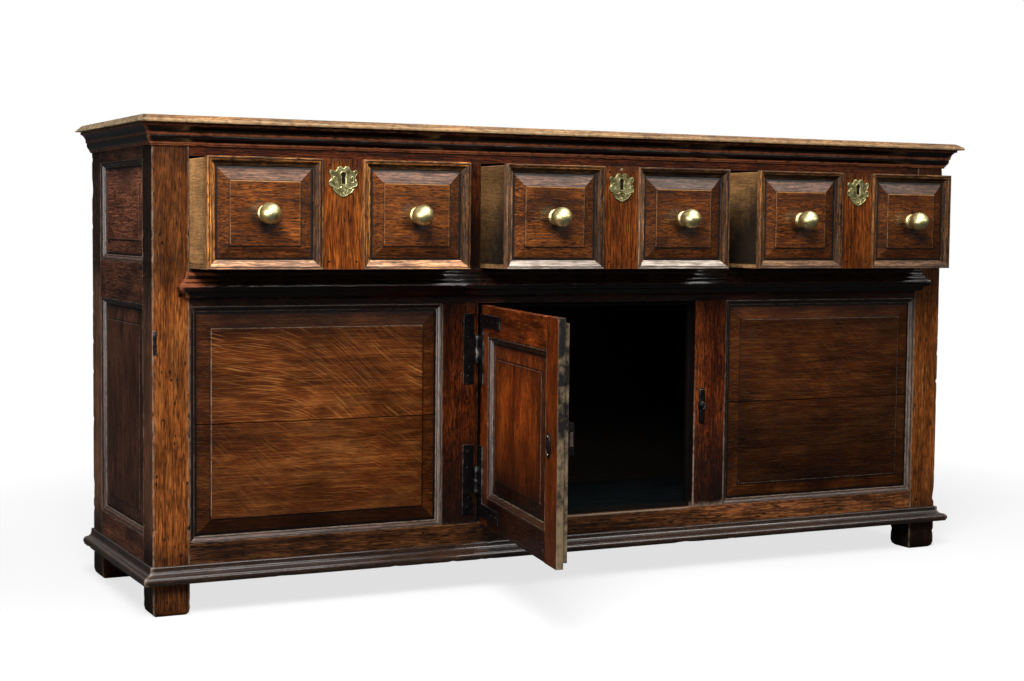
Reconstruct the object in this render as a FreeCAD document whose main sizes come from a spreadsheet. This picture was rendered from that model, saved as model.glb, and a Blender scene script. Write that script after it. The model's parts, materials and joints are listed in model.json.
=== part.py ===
import FreeCAD, Part
# Oak dresser base: three drawers over a cupboard with one door and two fixed panels.
# Millimetres. +Z up, floor at Z = 0, X centred on the width, the front faces -Y.
# The drawers stand pulled out and the door stands open.
import os
from math import atan2, hypot, sqrt
from types import SimpleNamespace

import Sketcher
from FreeCAD import Placement, Rotation, Vector

SIZES = (
    # Case
    ("case_width", 1766, "width over the posts"),
    ("case_depth", 449, "depth over the posts"),
    ("case_height", 880, "floor to the underside of the top"),
    ("front_plane", 22, "front of the case behind the origin"),
    ("post_width", 68, "width of a post"),
    ("post_front_depth", 64, "depth of a front post"),
    ("post_back_depth", 70, "depth of a back post"),
    ("foot_inset", 6, "wear round the bottom of a post"),
    ("foot_worn", 12, "height of that wear"),
    ("rail_thick", 28, "thickness of the front rails"),
    ("side_rail_thick", 22, "thickness of the side rails"),
    ("upright_thick", 24, "thickness of muntins and drawer dividers"),
    ("muntin_width", 75, "width of a muntin"),
    ("divider_width", 69, "width of a drawer divider"),
    ("left_bay", 494.5, "width of the left panel's bay"),
    ("door_bay", 493.5, "width of the door's bay"),
    ("left_drawer_bay", 504, "width of the left drawer's opening"),
    ("centre_drawer_bay", 498, "width of the centre drawer's opening"),
    ("bottom_rail_low", 60.5, "underside of the bottom rails"),
    ("bottom_rail_high", 130, "top of the front bottom rail"),
    ("mid_rail_low", 555.5, "underside of the front middle rail"),
    ("mid_rail_high", 623, "top of the front middle rail"),
    ("top_rail_low", 823, "underside of the front top rail"),
    ("side_bottom_high", 138, "top of a side's bottom rail"),
    ("side_mid_low", 558, "underside of a side's middle rail"),
    ("side_mid_high", 632, "top of a side's middle rail"),
    ("side_top_low", 819, "underside of a side's top rail"),
    ("tenon_length", 38, "length of a rail's tenon"),
    ("stub_length", 20, "length of an upright's tenon"),
    ("tenon_thick", 10, "thickness of a tenon"),
    ("tenon_set", 9, "tenon behind the rail's face"),
    ("tenon_shoulder", 8, "shoulder above and below a tenon"),
    ("peg_radius", 4, "radius of an oak peg"),
    ("peg_length", 26, "length of an oak peg"),
    ("peg_set", 17, "peg from the shoulder"),
    # Top and mouldings
    ("top_thick", 13, "thickness of the top"),
    ("top_overhang", 33, "top beyond the case, front and sides"),
    ("top_back", 3, "top beyond the back of the case"),
    ("top_lip", 4, "upright part of the top's edge"),
    ("top_slope", 14, "width of the slope above the lip"),
    ("top_front_board", 292, "depth of the top's front board"),
    ("cornice_height", 40, "height of the cornice"),
    ("cornice_out", 22, "projection of the cornice"),
    ("mid_low", 572, "underside of the middle moulding"),
    ("mid_height", 46, "height of the middle moulding"),
    ("mid_out", 24.5, "projection of the middle moulding"),
    ("base_height", 31.5, "height of the base moulding"),
    ("base_out", 23.5, "projection of the base moulding"),
    # Panels
    ("panel_moulding", 11, "width of a panel moulding"),
    ("panel_sunk", 9, "panel behind the frame's face"),
    ("panel_bevel", 29, "width of the bevel round a field"),
    ("panel_rise", 4, "rise of that bevel"),
    ("field_step", 1, "step at the edge of a field"),
    ("panel_slab", 8, "thickness of a panel's edge"),
    ("panel_tongue", 7, "panel in its groove"),
    # Inside and back
    ("back_rail_thick", 20, "thickness of a back rail"),
    ("back_board_thick", 9, "thickness of a back board"),
    ("board_gap", 0.8, "gap between loose boards"),
    ("back_mid_low", 590, "underside of the back middle rail"),
    ("floor_top", 126, "top of the cupboard floor"),
    ("floor_thick", 10, "thickness of the cupboard floor"),
    ("batten", 20, "thickness of runners, kickers and bearers"),
    ("runner_ledge", 25, "runner under a drawer's side"),
    ("runner_drop", 0.5, "runner below the drawer"),
    ("guide_height", 26, "height of a drawer guide"),
    ("stop_width", 8, "width of a door stop"),
    ("stop_thick", 9.5, "thickness of a door stop"),
    # Drawers
    ("drawer_gap", 1, "drawer front from its opening, each side"),
    ("drawer_low", 624, "underside of a drawer"),
    ("drawer_high", 821, "top of a drawer front"),
    ("facing_set", 10, "drawer front's board behind the case front"),
    ("front_board", 18, "thickness of a drawer front's board"),
    ("drawer_side", 12, "thickness of a drawer's sides and back"),
    ("side_drop", 3, "drawer sides below the front's top"),
    ("back_drop", 13, "drawer back below the front's top"),
    ("drawer_length", 390, "drawer behind its facing"),
    ("drawer_bottom", 8, "thickness of a drawer's bottom"),
    ("centre_board", 76, "width of the upright centre board"),
    ("centre_thick", 8, "thickness of the centre board"),
    ("facing_moulding", 17, "width of a drawer moulding"),
    ("facing_out", 12, "projection of a drawer moulding"),
    ("facing_bevel", 25, "width of a drawer panel's bevel"),
    ("facing_slab", 1.5, "thickness of a drawer panel's edge"),
    ("facing_rise", 4.5, "rise of a drawer panel's bevel"),
    ("pulled_left", 103, "left drawer pulled out"),
    ("pulled_centre", 108, "centre drawer pulled out"),
    ("pulled_right", 110, "right drawer pulled out"),
    # Drawer hardware
    ("knob_radius", 18.8, "radius of a knob at its widest"),
    ("knob_length", 50, "knob in front of the panel"),
    ("knob_widest", 27, "a knob's widest place from the panel"),
    ("knob_swell", 33.3, "radius of a knob's outline behind its widest place"),
    ("knob_crown", 24.6, "radius of a knob's outline in front of it"),
    ("knob_waist", 12.3, "radius of a knob's waist"),
    ("knob_waist_set", 7.5, "a knob's waist from the panel"),
    ("knob_collar", 15, "radius of a knob's collar"),
    ("knob_ring", 3.4, "height of the collar's ring"),
    ("knob_tip", 3, "radius of the flat at a knob's tip"),
    ("knob_shank", 3, "radius of a knob's shank"),
    ("shank_length", 20, "shank in the drawer front"),
    ("plate_half", 27.7, "half width of a key plate"),
    ("plate_rise", 28, "key plate above its middle"),
    ("plate_fall", 27.5, "key plate below its middle"),
    ("plate_thick", 2.5, "thickness of a key plate"),
    ("plate_down", 41, "key plate's middle below the drawer's top"),
    ("key_radius", 4.4, "radius of a keyhole's round part"),
    ("key_rise", 12.3, "keyhole's round part above the plate's middle"),
    ("key_slot", 6.6, "width of a keyhole's slot"),
    ("key_drop", 15.5, "keyhole's slot below its round part"),
    ("lock_width", 70, "width of a drawer lock"),
    ("lock_height", 50, "height of a drawer lock"),
    ("lock_depth", 12, "depth of a drawer lock"),
    ("bolt_width", 24, "width of a lock's bolt"),
    ("bolt_thick", 6, "thickness of a lock's bolt"),
    ("bolt_length", 31, "length of a drawer lock's bolt"),
    ("bolt_set", 2, "bolt from the face of its lock"),
    ("bolt_slack", 0.4, "clearance round a bolt"),
    ("bolt_throw", 9, "travel of a drawer lock's bolt"),
    # Door
    ("door_open", 100.4, "degrees the door stands open"),
    ("door_gap", 2.5, "door from its opening"),
    ("hinge_out", 5, "hinge axis in front of the case"),
    ("hinge_inset", 3.5, "hinge axis from the muntin's edge"),
    ("door_thick", 23, "thickness of the door"),
    ("door_lip", 13.5, "thickness of the door in front of its rebate"),
    ("door_rebate", 9, "width of the rebate"),
    ("hinge_stile", 52, "width of the stile at the hinges"),
    ("lock_stile", 66, "width of the stile at the lock"),
    ("door_top_rail", 58, "width of the door's top rail"),
    ("door_bottom_rail", 54, "width of the door's bottom rail"),
    ("leaf_thick", 2.5, "thickness of a hinge leaf"),
    ("leaf_width", 22, "width of a hinge leaf"),
    ("leaf_height", 135, "height of a hinge leaf"),
    ("leaf_from_axis", 6, "hinge leaf from its axis"),
    ("leg_reach", 142, "hinge leg from the axis"),
    ("leg_width", 24, "width of a hinge leg"),
    ("upper_hinge", 468.5, "middle of the upper hinge"),
    ("lower_hinge", 215, "middle of the lower hinge"),
    ("barrel_radius", 4.8, "radius of a hinge barrel"),
    ("barrel_height", 51, "height of a hinge barrel"),
    ("knuckle_gap", 0.5, "gap between knuckles"),
    ("tab_gap", 0.3, "gap behind a knuckle's tab"),
    ("pin_radius", 2.2, "radius of a hinge pin"),
    ("pin_play", 0.05, "clearance round a hinge pin"),
    ("pin_head", 3.4, "radius of a pin's head"),
    ("pin_head_height", 2.4, "height of a pin's head"),
    ("door_lock_middle", 350, "height of the door lock's middle"),
    ("door_lock_width", 92, "width of the door lock"),
    ("door_lock_height", 54, "height of the door lock"),
    ("door_lock_depth", 10, "depth of the door lock"),
    ("door_bolt_length", 62, "length of the door lock's bolt"),
    ("oval_rise", 23, "half height of the door's key plate"),
    ("oval_bend", 28, "radius of the door's key plate's edges"),
    ("oval_thick", 3, "thickness of the door's key plate"),
    ("oval_from_edge", 46, "door's key plate from the door's edge"),
    ("oval_middle", 336, "height of the door's key plate"),
    # Turn button
    ("button_from_edge", 18, "turn button's pivot from the door's bay"),
    ("button_middle", 339, "height of the turn button's pivot"),
    ("button_half", 36, "half length of the turn button"),
    ("button_end", 7, "half width of the button's ends"),
    ("button_waist", 9, "half width of the button's boss"),
    ("button_bend", 18, "radius of the boss's edges"),
    ("button_thick", 3.5, "thickness of the turn button"),
    ("button_gap", 0.5, "clearance of the turn button"),
    ("screw_radius", 2.4, "radius of the button's screw"),
    ("screw_head", 5, "radius of the screw's head"),
    ("screw_head_height", 2, "height of the screw's head"),
    ("screw_length", 18, "screw in the muntin"),
)
BACK_BOARDS = 8
FLOOR_BOARDS = 3
DRAWER_BOTTOM_BOARDS = 4
DOOR_KEY = 0.6
SIDE_WORDS = {-1: "left", 1: "right"}
OUT_OF_PLANE = Vector(0, 0, 1)
LEAST_CUT = 0.001

doc = FreeCAD.newDocument("dresser")
sheet = doc.addObject("Spreadsheet::Sheet", "sizes")
nodes = []
cut_features = []


class Size:
    """A length: its number, and the sheet words that give it."""

    def __init__(self, text, value):
        self.text = text
        self.value = value

    def __add__(self, other):
        other = as_size(other)
        return Size("(%s + %s)" % (self.text, other.text), self.value + other.value)

    def __sub__(self, other):
        other = as_size(other)
        return Size("(%s - %s)" % (self.text, other.text), self.value - other.value)

    def __mul__(self, number):
        return Size("(%s * %r)" % (self.text, number), self.value * number)

    def __truediv__(self, number):
        return Size("(%s / %r)" % (self.text, number), self.value / number)

    def __neg__(self):
        return Size("(0 - %s)" % self.text, -self.value)


def as_size(item):
    """A bare number as a Size."""
    return item if isinstance(item, Size) else Size("(%r)" % float(item), float(item))


def read_sizes():
    """Fill the sheet and return its lengths by name."""
    found = {}
    for row, (alias, number, meaning) in enumerate(SIZES, start=1):
        sheet.set("A%d" % row, meaning)
        sheet.set("B%d" % row, str(number))
        sheet.setAlias("B%d" % row, alias)
        found[alias] = Size("sizes." + alias, float(number))
    doc.recompute()
    return SimpleNamespace(**found)


def bind(item, **lengths):
    """Tie an object's lengths to the sheet."""
    for name, length in lengths.items():
        item.setExpression(name, as_size(length).text)


def place(item, x, y, z, axis=Vector(0, 0, 1), turn=0):
    """Put an object at a point, turned about an axis."""
    x, y, z = as_size(x), as_size(y), as_size(z)
    item.Placement = Placement(Vector(x.value, y.value, z.value), Rotation(axis, turn))
    for name, length in (("x", x), ("y", y), ("z", z)):
        item.setExpression("Placement.Base." + name, length.text)


def board(name, x0, x1, y0, y1, z0, z1):
    """A squared board between two corners."""
    item = doc.addObject("Part::Box", name)
    x0, y0, z0 = as_size(x0), as_size(y0), as_size(z0)
    bind(item, Length=as_size(x1) - x0, Width=as_size(y1) - y0, Height=as_size(z1) - z0)
    place(item, x0, y0, z0)
    return item


def rod(name, radius, length, x, y, z, axis=Vector(0, 0, 1), turn=0):
    """A round rod from a point."""
    item = doc.addObject("Part::Cylinder", name)
    bind(item, Radius=radius, Height=length)
    place(item, x, y, z, axis, turn)
    return item


def rod_back(name, radius, length, x, y, z):
    """A round rod that runs from a point towards the back."""
    return rod(name, radius, length, x, y, z, Vector(1, 0, 0), -90)


def rod_across(name, radius, length, x, y, z):
    """A round rod that runs from a point towards +X."""
    return rod(name, radius, length, x, y, z, Vector(0, 1, 0), 90)


def slope_back(name, front, back, y0, y1):
    """A solid that goes from a front rectangle to a back one; each is x0, x1, z0, z1."""
    item = doc.addObject("Part::Wedge", name)
    bind(item, Xmin=front[0], Xmax=front[1], Zmin=front[2], Zmax=front[3], Ymin=y0)
    bind(item, X2min=back[0], X2max=back[1], Z2min=back[2], Z2max=back[3], Ymax=y1)
    return item


def slope_up(name, low, high, z0, z1):
    """A solid that goes from a low rectangle to a high one; each is x0, x1, y0, y1."""
    low = (low[0], low[1], -as_size(low[3]), -as_size(low[2]))
    high = (high[0], high[1], -as_size(high[3]), -as_size(high[2]))
    item = slope_back(name, low, high, z0, z1)
    item.Placement = Placement(Vector(), Rotation(Vector(1, 0, 0), 90))
    return item


def join(name, pieces):
    """One solid out of several."""
    item = doc.addObject("Part::MultiFuse", name)
    item.Shapes = pieces
    item.Refine = True
    return item


def cut(name, base, tools):
    """A solid less its mortises, grooves or holes."""
    item = doc.addObject("Part::Cut", name)
    item.Base = base
    item.Tool = tools[0] if len(tools) == 1 else group(name + "_tools", tools)
    cut_features.append((base, item))
    return item


def common(name, first, second):
    """What two solids share."""
    item = doc.addObject("Part::Common", name)
    item.Base = first
    item.Tool = second
    return item


def group(name, pieces):
    """Separate solids kept together."""
    item = doc.addObject("Part::Compound", name)
    item.Links = pieces
    return item


def node(label, pieces, pose=None):
    """Name a sub-part; pose moves the pieces of a moving body from their closed place."""
    alone = len(pieces) == 1 and pose is None
    item = pieces[0] if alone else group(label, pieces)
    item.Label = label
    if pose:
        pose(item)
    nodes.append(item)


def origin_plane(body, role):
    """One of a body's own planes."""
    return next(item for item in body.Origin.OriginFeatures if item.Role == role)


def curve(start, end, radius):
    """The edge between two corners; a positive radius swells outwards on a left-hand round."""
    if not radius:
        return Part.LineSegment(start, end), 1, 2
    chord = end - start
    span = hypot(chord.x, chord.y)
    rise = sqrt(radius.value ** 2 - span ** 2 / 4)
    side = 1 if radius.value > 0 else -1
    left = Vector(-chord.y, chord.x, 0) / span
    middle = (start + end) / 2 + left * rise * side
    circle = Part.Circle(middle, OUT_OF_PLANE, abs(radius.value))
    first, last = (start, end) if side > 0 else (end, start)
    angles = [atan2(point.y - middle.y, point.x - middle.x) for point in (first, last)]
    ends = (1, 2) if side > 0 else (2, 1)
    return Part.ArcOfCircle(circle, *angles), *ends


def outline(body, name, plane, corners):
    """A closed sketch; a corner is x, y and, where a curve leads to it, that curve's radius."""
    sketch = body.newObject("Sketcher::SketchObject", name)
    sketch.AttachmentSupport = (origin_plane(body, plane), [""])
    sketch.MapMode = "FlatFace"
    points = [(as_size(corner[0]), as_size(corner[1])) for corner in corners]
    flat = [Vector(x.value, y.value, 0) for x, y in points]
    ends = []
    for index in range(len(corners)):
        following = (index + 1) % len(corners)
        target = corners[following]
        radius = as_size(target[2]) if len(target) == 3 else None
        edge, first, last = curve(flat[index], flat[following], radius)
        sketch.addGeometry(edge, False)
        ends.append((first, last))
        if radius:
            bend = radius if radius.value > 0 else -radius
            tie(sketch, Sketcher.Constraint("Radius", index, bend.value), bend)
    for index, (first, last) in enumerate(ends):
        following = (index + 1) % len(corners)
        meet = Sketcher.Constraint("Coincident", index, last, following, ends[following][0])
        sketch.addConstraint(meet)
        for kind, length in zip(("DistanceX", "DistanceY"), points[index]):
            tie(sketch, Sketcher.Constraint(kind, -1, 1, index, first, length.value), length)
    return sketch


def tie(sketch, constraint, length):
    """Add a dimension that the sheet drives."""
    number = sketch.addConstraint(constraint)
    sketch.setExpression("Constraints[%d]" % number, length.text)


def pad(body, name, sketch, length):
    """Raise a sketch into a solid."""
    item = body.newObject("PartDesign::Pad", name)
    item.Profile = sketch
    bind(item, Length=length)
    return item


def pocket_through(body, name, sketch, base, backwards=False):
    """Cut a sketch right through."""
    item = body.newObject("PartDesign::Pocket", name)
    item.Profile = sketch
    item.Type = "ThroughAll"
    item.Reversed = backwards
    cut_features.append((base, item))
    return item


def moulding(name, profile, length, start="square", end="square"):
    """A length of moulding along +X from x = 0, out towards -Y and down from z = 0.

    The profile is (out, down) with an optional radius. An end is square, a mitre in the
    plane of the wall (inner) or a mitre round an outside corner (outer). The length is
    that of the longest edge.
    """
    body = doc.addObject("PartDesign::Body", name)
    corners = [(-as_size(corner[0]), -as_size(corner[1]), *corner[2:]) for corner in profile]
    section = outline(body, name + "_profile", "YZ_Plane", corners)
    stick = pad(body, name + "_stick", section, length)
    out = max((as_size(corner[0]) for corner in profile), key=lambda size: size.value)
    down = max((as_size(corner[1]) for corner in profile), key=lambda size: size.value)
    for at, kind in (("start", start), ("end", end)):
        if kind == "square":
            continue
        reach = down if kind == "inner" else out
        edge, inward = (as_size(0), reach) if at == "start" else (length, length - reach)
        if kind == "inner":
            corners = [(edge, 0), (edge, -reach), (inward, -reach)]
            plane = "XZ_Plane"
        else:
            corners = [(edge, 0), (inward, 0), (edge, -reach)]
            plane = "XY_Plane"
        sketch = outline(body, "%s_%s_mitre" % (name, at), plane, corners)
        stick = pocket_through(body, "%s_%s_cut" % (name, at), sketch, stick, kind == "inner")
    return body


def mitred_frame(name, profile, x0, x1, z0, z1, y):
    """Four mitred lengths of moulding inside a rectangle, standing on the plane y."""
    width, height = x1 - x0, z1 - z0
    sides = (("top", width, x0, z1, 0), ("right", height, x1, z1, 90),
             ("bottom", width, x1, z0, 180), ("left", height, x0, z0, 270))
    lengths = []
    for word, length, x, z, turn in sides:
        piece = moulding("%s_%s" % (name, word), profile, length, "inner", "inner")
        place(piece, x, y, z, Vector(0, 1, 0), turn)
        lengths.append(piece)
    return lengths


def fielded(name, x0, x1, z0, z1, y, bevel, rise, slab, tongue):
    """A panel with a raised field; y is the face of its edge, whose back is a slab deeper."""
    field = (x0 + bevel, x1 - bevel, z0 + bevel, z1 - bevel)
    high = y - rise
    edge = board(name + "_edge", x0 - tongue, x1 + tongue, y, y + slab, z0 - tongue, z1 + tongue)
    slope = slope_back(name + "_slope", field, (x0, x1, z0, z1), high, y)
    flat = board(name + "_field", field[0], field[1], high - size.field_step, high, field[2], field[3])
    return join(name, [edge, slope, flat])


def tenoned(name, x0, x1, z0, z1, y, thick, upright=False):
    """A rail or upright with its two tenons; returns the plank and the tenons."""
    plank = board(name + "_plank", x0, x1, y, y + thick, z0, z1)
    y0 = y + size.tenon_set
    y1 = y0 + size.tenon_thick
    shoulder = size.tenon_shoulder
    if upright:
        reach = size.stub_length
        spans = ((x0 + shoulder, x1 - shoulder, z0 - reach, z0),
                 (x0 + shoulder, x1 - shoulder, z1, z1 + reach))
    else:
        reach = size.tenon_length
        spans = ((x0 - reach, x0, z0 + shoulder, z1 - shoulder),
                 (x1, x1 + reach, z0 + shoulder, z1 - shoulder))
    tenons = [board("%s_tenon_%d" % (name, number), left, right, y0, y1, low, high)
              for number, (left, right, low, high) in enumerate(spans)]
    return [plank, *tenons], tenons


def boards_across(name, count, x0, x1, y0, y1, z0, z1, along="x"):
    """Loose boards side by side, with a small gap between them."""
    low, high = (x0, x1) if along == "x" else (y0, y1)
    step = (high - low) / count
    pieces = []
    for index in range(count):
        a = low + step * index + size.board_gap / 2
        b = low + step * (index + 1) - size.board_gap / 2
        span = (a, b, y0, y1) if along == "x" else (x0, x1, a, b)
        pieces.append(board("%s_%d" % (name, index + 1), *span, z0, z1))
    return pieces


size = read_sizes()
half = size.case_width / 2
front = size.front_plane
back = front + size.case_depth
post_inner = half - size.post_width
post_front_back = front + size.post_front_depth
post_back_front = back - size.post_back_depth
rail_back = front + size.rail_thick
back_board_front = back - size.back_board_thick
back_rail_front = back_board_front - size.back_rail_thick
door_left = size.left_bay + size.muntin_width - post_inner
door_right = door_left + size.door_bay
right_bay_left = door_right + size.muntin_width
left_bay_right = size.left_bay - post_inner
divider_1 = size.left_drawer_bay - post_inner
divider_2 = divider_1 + size.divider_width + size.centre_drawer_bay
hinge_x = door_left - size.hinge_inset
hinge_y = front - size.hinge_out
drawer_middle = (size.drawer_low + size.drawer_high) / 2
ground = front + size.facing_set

DRAWERS = (
    ("drawer_left", -post_inner, divider_1, size.pulled_left),
    ("drawer_centre", divider_1 + size.divider_width, divider_2, size.pulled_centre),
    ("drawer_right", divider_2 + size.divider_width, post_inner, size.pulled_right),
)


def panel_profile():
    """Moulding that falls from a frame's face to its panel."""
    face = size.panel_sunk
    wide = size.panel_moulding
    return [(0, 0), (face, 0), (face, 1.5), (face - 1.5, 1.5), (3, wide - 3, 8), (3, wide - 1.5), (0, wide)]


def drawer_profile():
    """Drawer moulding: a fillet, a round and a hollow that falls to the panel."""
    out, wide = size.facing_out, size.facing_moulding
    return [(0, 0), (out - 1, 0), (out, 1), (out, 3.2), (out - 1.2, 3.6), (out - 1.2, 4.2),
            (out - 4.6, 9.4, 6.5), (out - 8.4, 14.4, -7), (out - 8.4, 15.4), (out - 9.5, wide), (0, wide)]


def cornice_profile():
    """Cornice: a fillet, a hollow, a step and a round."""
    out, tall = size.cornice_out, size.cornice_height
    return [(0, 0), (out, 0), (out, 5), (out - 2, 5), (out - 10, 18, -16), (out - 10, 21), (out - 12.5, 21),
            (out - 17, 34, 12), (out - 17, 37), (out - 19, 37), (out - 19, tall), (0, tall)]


def mid_profile():
    """Middle moulding: a fillet, a hollow, a large round and a fillet."""
    out, tall = size.mid_out, size.mid_height
    return [(0, 0), (out - 15, 0), (out - 15, 4), (out - 9.5, 14, -11), (out - 8.5, 17),
            (out - 8.5, 37, 10.15), (out - 11, 37), (out - 13, 41), (out - 14.5, tall), (0, tall)]


def base_profile():
    """Base moulding: a step, a hollow and a round."""
    out, tall = size.base_out, size.base_height
    return [(0, 0), (out - 20.5, 0), (out - 18.5, 2), (out - 18.5, 8), (out - 9.5, 16, -10.5),
            (out - 7, 16.5), (out - 4.5, 29.5, 8), (out - 4.5, tall), (0, tall)]


def front_pegs():
    """Pegs through the front rails' tenons, two in each joint."""
    pegs = []
    levels = ((size.bottom_rail_low, size.bottom_rail_high), (size.mid_rail_low, size.mid_rail_high),
              (size.top_rail_low, size.case_height))
    for side in (-1, 1):
        for low, high in levels:
            for share in (-0.2, 0.2):
                x = (post_inner + size.peg_set) * side
                z = (low + high) / 2 + (high - low) * share
                pegs.append(rod_back("peg", size.peg_radius, size.peg_length, x, front, z))
    return pegs


def side_pegs():
    """Pegs through the side rails' tenons, two in each joint."""
    pegs = []
    for side in (-1, 1):
        for low, high in SIDE_LEVELS:
            for y in (post_front_back - size.peg_set, post_back_front + size.peg_set):
                for share in (-0.2, 0.2):
                    start = half - size.peg_length if side > 0 else -half
                    z = (low + high) / 2 + (high - low) * share
                    pegs.append(rod_across("peg", size.peg_radius, size.peg_length, start, y, z))
    return pegs


SIDE_LEVELS = ((size.bottom_rail_low, size.side_bottom_high), (size.side_mid_low, size.side_mid_high),
               (size.side_top_low, size.case_height))


def side_frame(side):
    """Rails and tenons of one side; side is -1 on the left and 1 on the right."""
    rails, tenons = [], []

    def across(depth, thick):
        """X range of a layer that starts a depth inside the side's face."""
        outer, inner = half - depth, half - depth - thick
        return (inner, outer) if side > 0 else (-outer, -inner)

    for level, (low, high) in enumerate(SIDE_LEVELS):
        name = "side_rail_%s_%d" % (SIDE_WORDS[side], level)
        x0, x1 = across(as_size(0), size.side_rail_thick)
        plank = board(name + "_plank", x0, x1, post_front_back, post_back_front, low, high)
        x0, x1 = across(size.tenon_set, size.tenon_thick)
        z0, z1 = low + size.tenon_shoulder, high - size.tenon_shoulder
        y0, y1 = post_front_back - size.tenon_length, post_back_front + size.tenon_length
        ends = [board(name + "_tenon_front", x0, x1, y0, post_front_back, z0, z1),
                board(name + "_tenon_back", x0, x1, post_back_front, y1, z0, z1)]
        rails.append(join(name + "_whole", [plank, *ends]))
        tenons.extend(ends)
    return rails, tenons


def in_two(name, whole, x0, x1, z0, z1, y1, upright):
    """Split a panel into two boards at its middle; upright boards stand side by side."""
    x, z = (x0 + x1) / 2, (z0 + z1) / 2
    spans = ((x0, x, z0, z1), (x, x1, z0, z1)) if upright else ((x0, x1, z0, z), (x0, x1, z, z1))
    boards = []
    for number, (left, right, low, high) in enumerate(spans, start=1):
        reach = board("%s_reach_%d" % (name, number), left, right, y1 - size.panel_sunk - size.panel_slab, y1,
                      low, high)
        boards.append(common("%s_board_%d" % (name, number), whole, reach))
    return boards


def side_panels(side):
    """One side's fielded panels and mouldings, drawn as on the front and then turned to the side."""
    inset = size.panel_moulding
    tongue = size.panel_tongue + inset
    y = size.panel_sunk
    wide = post_back_front - post_front_back
    panels, mouldings = [], []
    for row, z0, z1 in (("upper", size.side_mid_high, size.side_top_low),
                        ("lower", size.side_bottom_high, size.side_mid_low)):
        name = "side_panel_%s_%s" % (SIDE_WORDS[side], row)
        whole = fielded(name, inset, wide - inset, z0 + inset, z1 - inset, y, size.panel_bevel,
                        size.panel_rise, size.panel_slab, tongue)
        mouldings.extend(mitred_frame(name + "_moulding", panel_profile(), as_size(0), wide, z0, z1, y))
        if row == "upper":
            panels.append(whole)
        else:
            panels.extend(in_two(name, whole, -tongue, wide + tongue, z0 - tongue, z1 + tongue,
                                 y + size.panel_slab, True))
    turned = []
    for word, pieces in (("panels", panels), ("mouldings", mouldings)):
        item = group("side_%s_%s" % (SIDE_WORDS[side], word), pieces)
        if side < 0:
            place(item, -half, post_back_front, 0, turn=-90)
        else:
            place(item, half, post_front_back, 0, turn=90)
        turned.append(item)
    return turned


def front_panels():
    """The two fixed panels, each of two boards, and their mouldings."""
    wholes, boards, mouldings = [], [], []
    inset = size.panel_moulding
    y = front + size.panel_sunk
    z0, z1 = size.bottom_rail_high, size.mid_rail_low
    tongue = size.panel_tongue + inset
    for word, x0, x1 in (("left", -post_inner, left_bay_right), ("right", right_bay_left, post_inner)):
        name = "front_panel_" + word
        whole = fielded(name, x0 + inset, x1 - inset, z0 + inset, z1 - inset, y, size.panel_bevel,
                        size.panel_rise, size.panel_slab, tongue)
        boards.extend(in_two(name, whole, x0 - tongue, x1 + tongue, z0 - tongue, z1 + tongue,
                             y + size.panel_slab, False))
        wholes.append(whole)
        mouldings.extend(mitred_frame(name + "_moulding", panel_profile(), x0, x1, z0, z1, y))
    return wholes, boards, mouldings


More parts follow.
